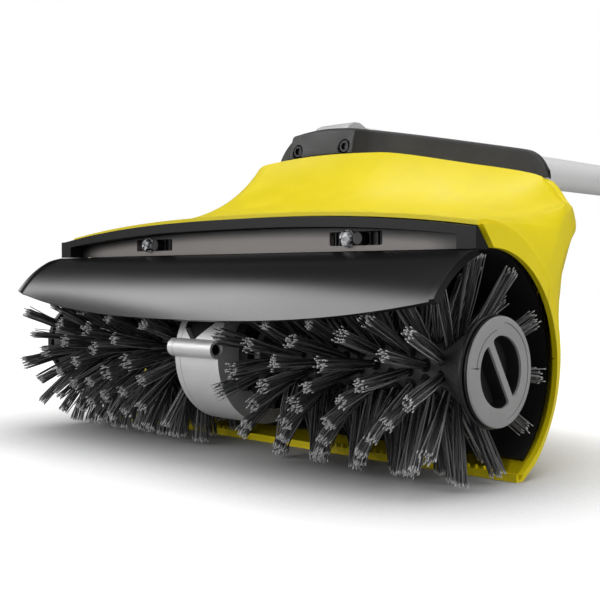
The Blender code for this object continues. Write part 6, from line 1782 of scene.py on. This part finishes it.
class PATIO_OT_screws(bpy.types.Operator):
    """Puts the socket screws into the top cover, the arm's boss and the grip"""
    bl_idname = "patio.screws"
    bl_label = "Screws"

    def execute(self, context):
        oxide = MATERIALS["oxide"]
        forward, right = (0.0, -1.0, 0.0), (1.0, 0.0, 0.0)
        seat = SCREW_SEAT_Y - SCREW_HEAD_DEPTH
        for label, side in SIDES:
            place = (side * COVER_SCREW_X, seat, COVER_SCREW_Z)
            made = screws_on("cover_screw_head_" + label, [(place, forward)], SCREW_HEAD_RADIUS,
                             COVER_SCREW_REACH, oxide)
            dress(made, "machine", "steel", "cover_screw_" + label)
        boss = screws_on("arm_screw", [((ARM_HALF - 0.0012, BOSS_Y, BOSS_Z), right)], BOSS_SCREW_RADIUS,
                         BOSS_SCREW_REACH, oxide)
        dress(boss, "machine", "steel", "gearbox_screw")
        places = [((GRIP_SCREW_SEAT + 0.0027, y, GRIP_SCREW_Z), right) for y in GRIP_SCREWS]
        grip = screws_on("grip_screws", places, SCREW_HEAD_RADIUS, GRIP_SCREW_REACH, oxide)
        dress(grip, "telescope", "steel", "grip_screw_front", "grip_screw_rear")
        return {"FINISHED"}


# Finishes of the pieces that keep their solids

class PATIO_OT_inside(bpy.types.Operator):
    """Gives every piece that keeps its own solid a finish"""
    bl_idname = "patio.inside"
    bl_label = "Finishes of the other pieces"

    def execute(self, context):
        by_slot = {
            "yellow_plastic": "yellow", "black_plastic": "black", "satin_black_plastic": "satin",
            "grey_plastic": "bar", "cap_plastic": "cap", "cast_aluminium": "alloy", "tube_aluminium": "tube",
            "steel": "steel", "nozzle_metal": "nozzle", "rotor": "rotor", "rubber": "rubber",
            "bristle_nylon": "bristle", "board": "board", "accent_plastic": "yellow"}
        for row in frame["record"]["subparts"]:
            node = frame["nodes"][row["node"]]
            for slot in node.material_slots:
                slot.material = MATERIALS[by_slot[row["material_slot"]]]
        return {"FINISHED"}


# Stage

FLOOR_HALF = 4.0
CAMERA_PLACE = (0.4196, -0.4196, 0.0976)
CAMERA_TURN = (math.radians(90.0 - 1.34), 0.0, math.radians(44.19))
CAMERA_LENS = 61.0


def area_light(name, place, aim, width, height, power):
    light = bpy.data.lights.new(name, "AREA")
    light.shape = "RECTANGLE"
    light.size = width
    light.size_y = height
    light.energy = power
    obj = in_scene(name, light)
    obj.location = place
    obj.rotation_euler = (Vector(aim) - Vector(place)).to_track_quat("-Z", "Y").to_euler()
    return obj


class PATIO_OT_stage(bpy.types.Operator):
    """Sets up the pale floor, the soft studio light and the camera"""
    bl_idname = "patio.stage"
    bl_label = "Stage"

    def execute(self, context):
        scene = context.scene
        sizes = scene.patio_stage
        scene.view_settings.view_transform = "Standard"
        lens = bpy.data.cameras.new("camera")
        lens.lens = CAMERA_LENS
        lens.sensor_width = 36.0
        camera = in_scene("camera", lens)
        camera.location = CAMERA_PLACE
        camera.rotation_euler = CAMERA_TURN
        scene.camera = camera

        # A matt white sweep: lifted to white for the camera, with the object's shadow kept
        floor_mat, tree, shader, place = start_material("matt_white_floor", linear("#A8A8A8"), 0.9)
        path = add(tree, "ShaderNodeLightPath")
        spot = add(tree, "ShaderNodeVectorMath", [place], operation="LENGTH")
        away = add(tree, MAP_RANGE, {"Value": spot.outputs["Value"], "From Min": 0.22, "From Max": 0.44,
                                     "To Min": 0.75}, **SMOOTH_STEP)
        # Close under the machine the lift fades, so that the contact shadow stays dark
        open_sky = add(tree, "ShaderNodeAmbientOcclusion", {"Distance": 0.10}, samples=8)
        shade = add(tree, MATH, [open_sky.outputs["AO"], 2.1], operation="POWER")
        seen = add(tree, MATH, [away, shade], operation="MULTIPLY")
        lift = add(tree, MATH, [path.outputs["Is Camera Ray"], seen], operation="MULTIPLY")
        glow = add(tree, "ShaderNodeEmission", {"Color": WHITE, "Strength": lift})
        feed(tree.nodes["Material Output"], {"Surface": add(tree, "ShaderNodeAddShader", [shader, glow])})
        mesh = bpy.data.meshes.new("floor")
        corners = [(-FLOOR_HALF, -FLOOR_HALF), (FLOOR_HALF, -FLOOR_HALF), (FLOOR_HALF, FLOOR_HALF),
                   (-FLOOR_HALF, FLOOR_HALF)]
        mesh.from_pydata([(x, y, 0.0) for x, y in corners], [], [(0, 1, 2, 3)])
        mesh.materials.append(floor_mat)
        in_scene("floor", mesh)

        world = bpy.data.worlds.new("studio")
        scene.world = world
        world.use_nodes = True
        tree = world.node_tree
        tree.nodes.clear()
        path = add(tree, "ShaderNodeLightPath")
        axes = add(tree, SEPARATE, [add(tree, "ShaderNodeTexCoord").outputs["Generated"]])
        rise = add(tree, MAP_RANGE, {"Value": axes.outputs[2], "From Min": 0.10, "From Max": 0.75,
                                     "To Min": 1.0, "To Max": 0.25}, **SMOOTH_STEP)
        level = add(tree, MATH, [rise, sizes.ambient], operation="MULTIPLY")
        # Gloss sees a dimmer room, so that black and yellow plastic stay deep
        dimmer = add(tree, MAP_RANGE, {"Value": path.outputs["Is Glossy Ray"], "To Min": 1.0, "To Max": 0.30})
        mirrored = add(tree, MATH, [level, dimmer], operation="MULTIPLY")
        shown = add(tree, MATH, [mirrored, path.outputs["Is Camera Ray"]], operation="MAXIMUM")
        sky = add(tree, "ShaderNodeBackground", {"Color": WHITE, "Strength": shown})
        add(tree, "ShaderNodeOutputWorld", {"Surface": sky})

        area_light("front_card", (-0.55, -1.25, 0.55), (0.0, 0.0, 0.06), 1.4, 0.8, sizes.key)
        area_light("top_box", (0.05, 0.25, 1.15), (0.0, 0.02, 0.1), 1.0, 1.0, sizes.top)
        area_light("side_card", (1.15, 0.10, 0.45), (0.12, 0.0, 0.06), 0.7, 0.8, sizes.side)
        gleam = area_light("gleam_card", (-0.84, -0.55, 0.88), (0.0, -0.05, 0.10), 0.9, 0.5, sizes.gleam)
        gleam.visible_diffuse = False
        return {"FINISHED"}


# Panel, registration and the order of building

class PATIO_PT_panel(bpy.types.Panel):
    """Lists the sizes, colours and build steps"""
    bl_idname = "PATIO_PT_panel"
    bl_label = "Patio cleaner"
    bl_space_type = "VIEW_3D"
    bl_region_type = "UI"
    bl_category = "Patio cleaner"

    def draw(self, context):
        scene = context.scene
        for title, group, _ in GROUPS:
            box = self.layout.box()
            box.label(text=title)
            settings = getattr(scene, group)
            for name in settings.__annotations__:
                box.prop(settings, name)
        for operator in OPERATORS:
            self.layout.operator(operator.bl_idname)


GROUPS = [
    ("Colours", "patio_colours", PatioColours),
    ("Housing", "patio_housing", PatioHousing),
    ("Rollers", "patio_roller", PatioRoller),
    ("Front", "patio_front", PatioFront),
    ("End caps", "patio_cap", PatioCap),
    ("Stage", "patio_stage", PatioStage),
]


OPERATORS = [
    PATIO_OT_stage,
    PATIO_OT_materials,
    PATIO_OT_inside,
    PATIO_OT_housing,
    PATIO_OT_cover,
    PATIO_OT_front,
    PATIO_OT_guard,
    PATIO_OT_chamber,
    PATIO_OT_arm,
    PATIO_OT_hubs,
    PATIO_OT_rollers,
    PATIO_OT_end_caps,
    PATIO_OT_handle,
    PATIO_OT_screws,
]


def register():
    for _, group, cls in GROUPS:
        bpy.utils.register_class(cls)
        setattr(bpy.types.Scene, group, PointerProperty(type=cls))
    for cls in OPERATORS + [PATIO_PT_panel]:
        bpy.utils.register_class(cls)


def unregister():
    for cls in reversed(OPERATORS + [PATIO_PT_panel]):
        bpy.utils.unregister_class(cls)
    for _, group, cls in reversed(GROUPS):
        delattr(bpy.types.Scene, group)
        bpy.utils.unregister_class(cls)


def main():
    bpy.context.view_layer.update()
    register()
    bpy.ops.patio.stage()
    bpy.ops.patio.materials()
    bpy.ops.patio.inside()
    bpy.ops.patio.housing()
    bpy.ops.patio.cover()
    bpy.ops.patio.front()
    bpy.ops.patio.guard()
    bpy.ops.patio.chamber()
    bpy.ops.patio.arm()
    bpy.ops.patio.hubs()
    bpy.ops.patio.rollers()
    bpy.ops.patio.end_caps()
    bpy.ops.patio.handle()
    bpy.ops.patio.screws()


if __name__ == "__main__":
    main()
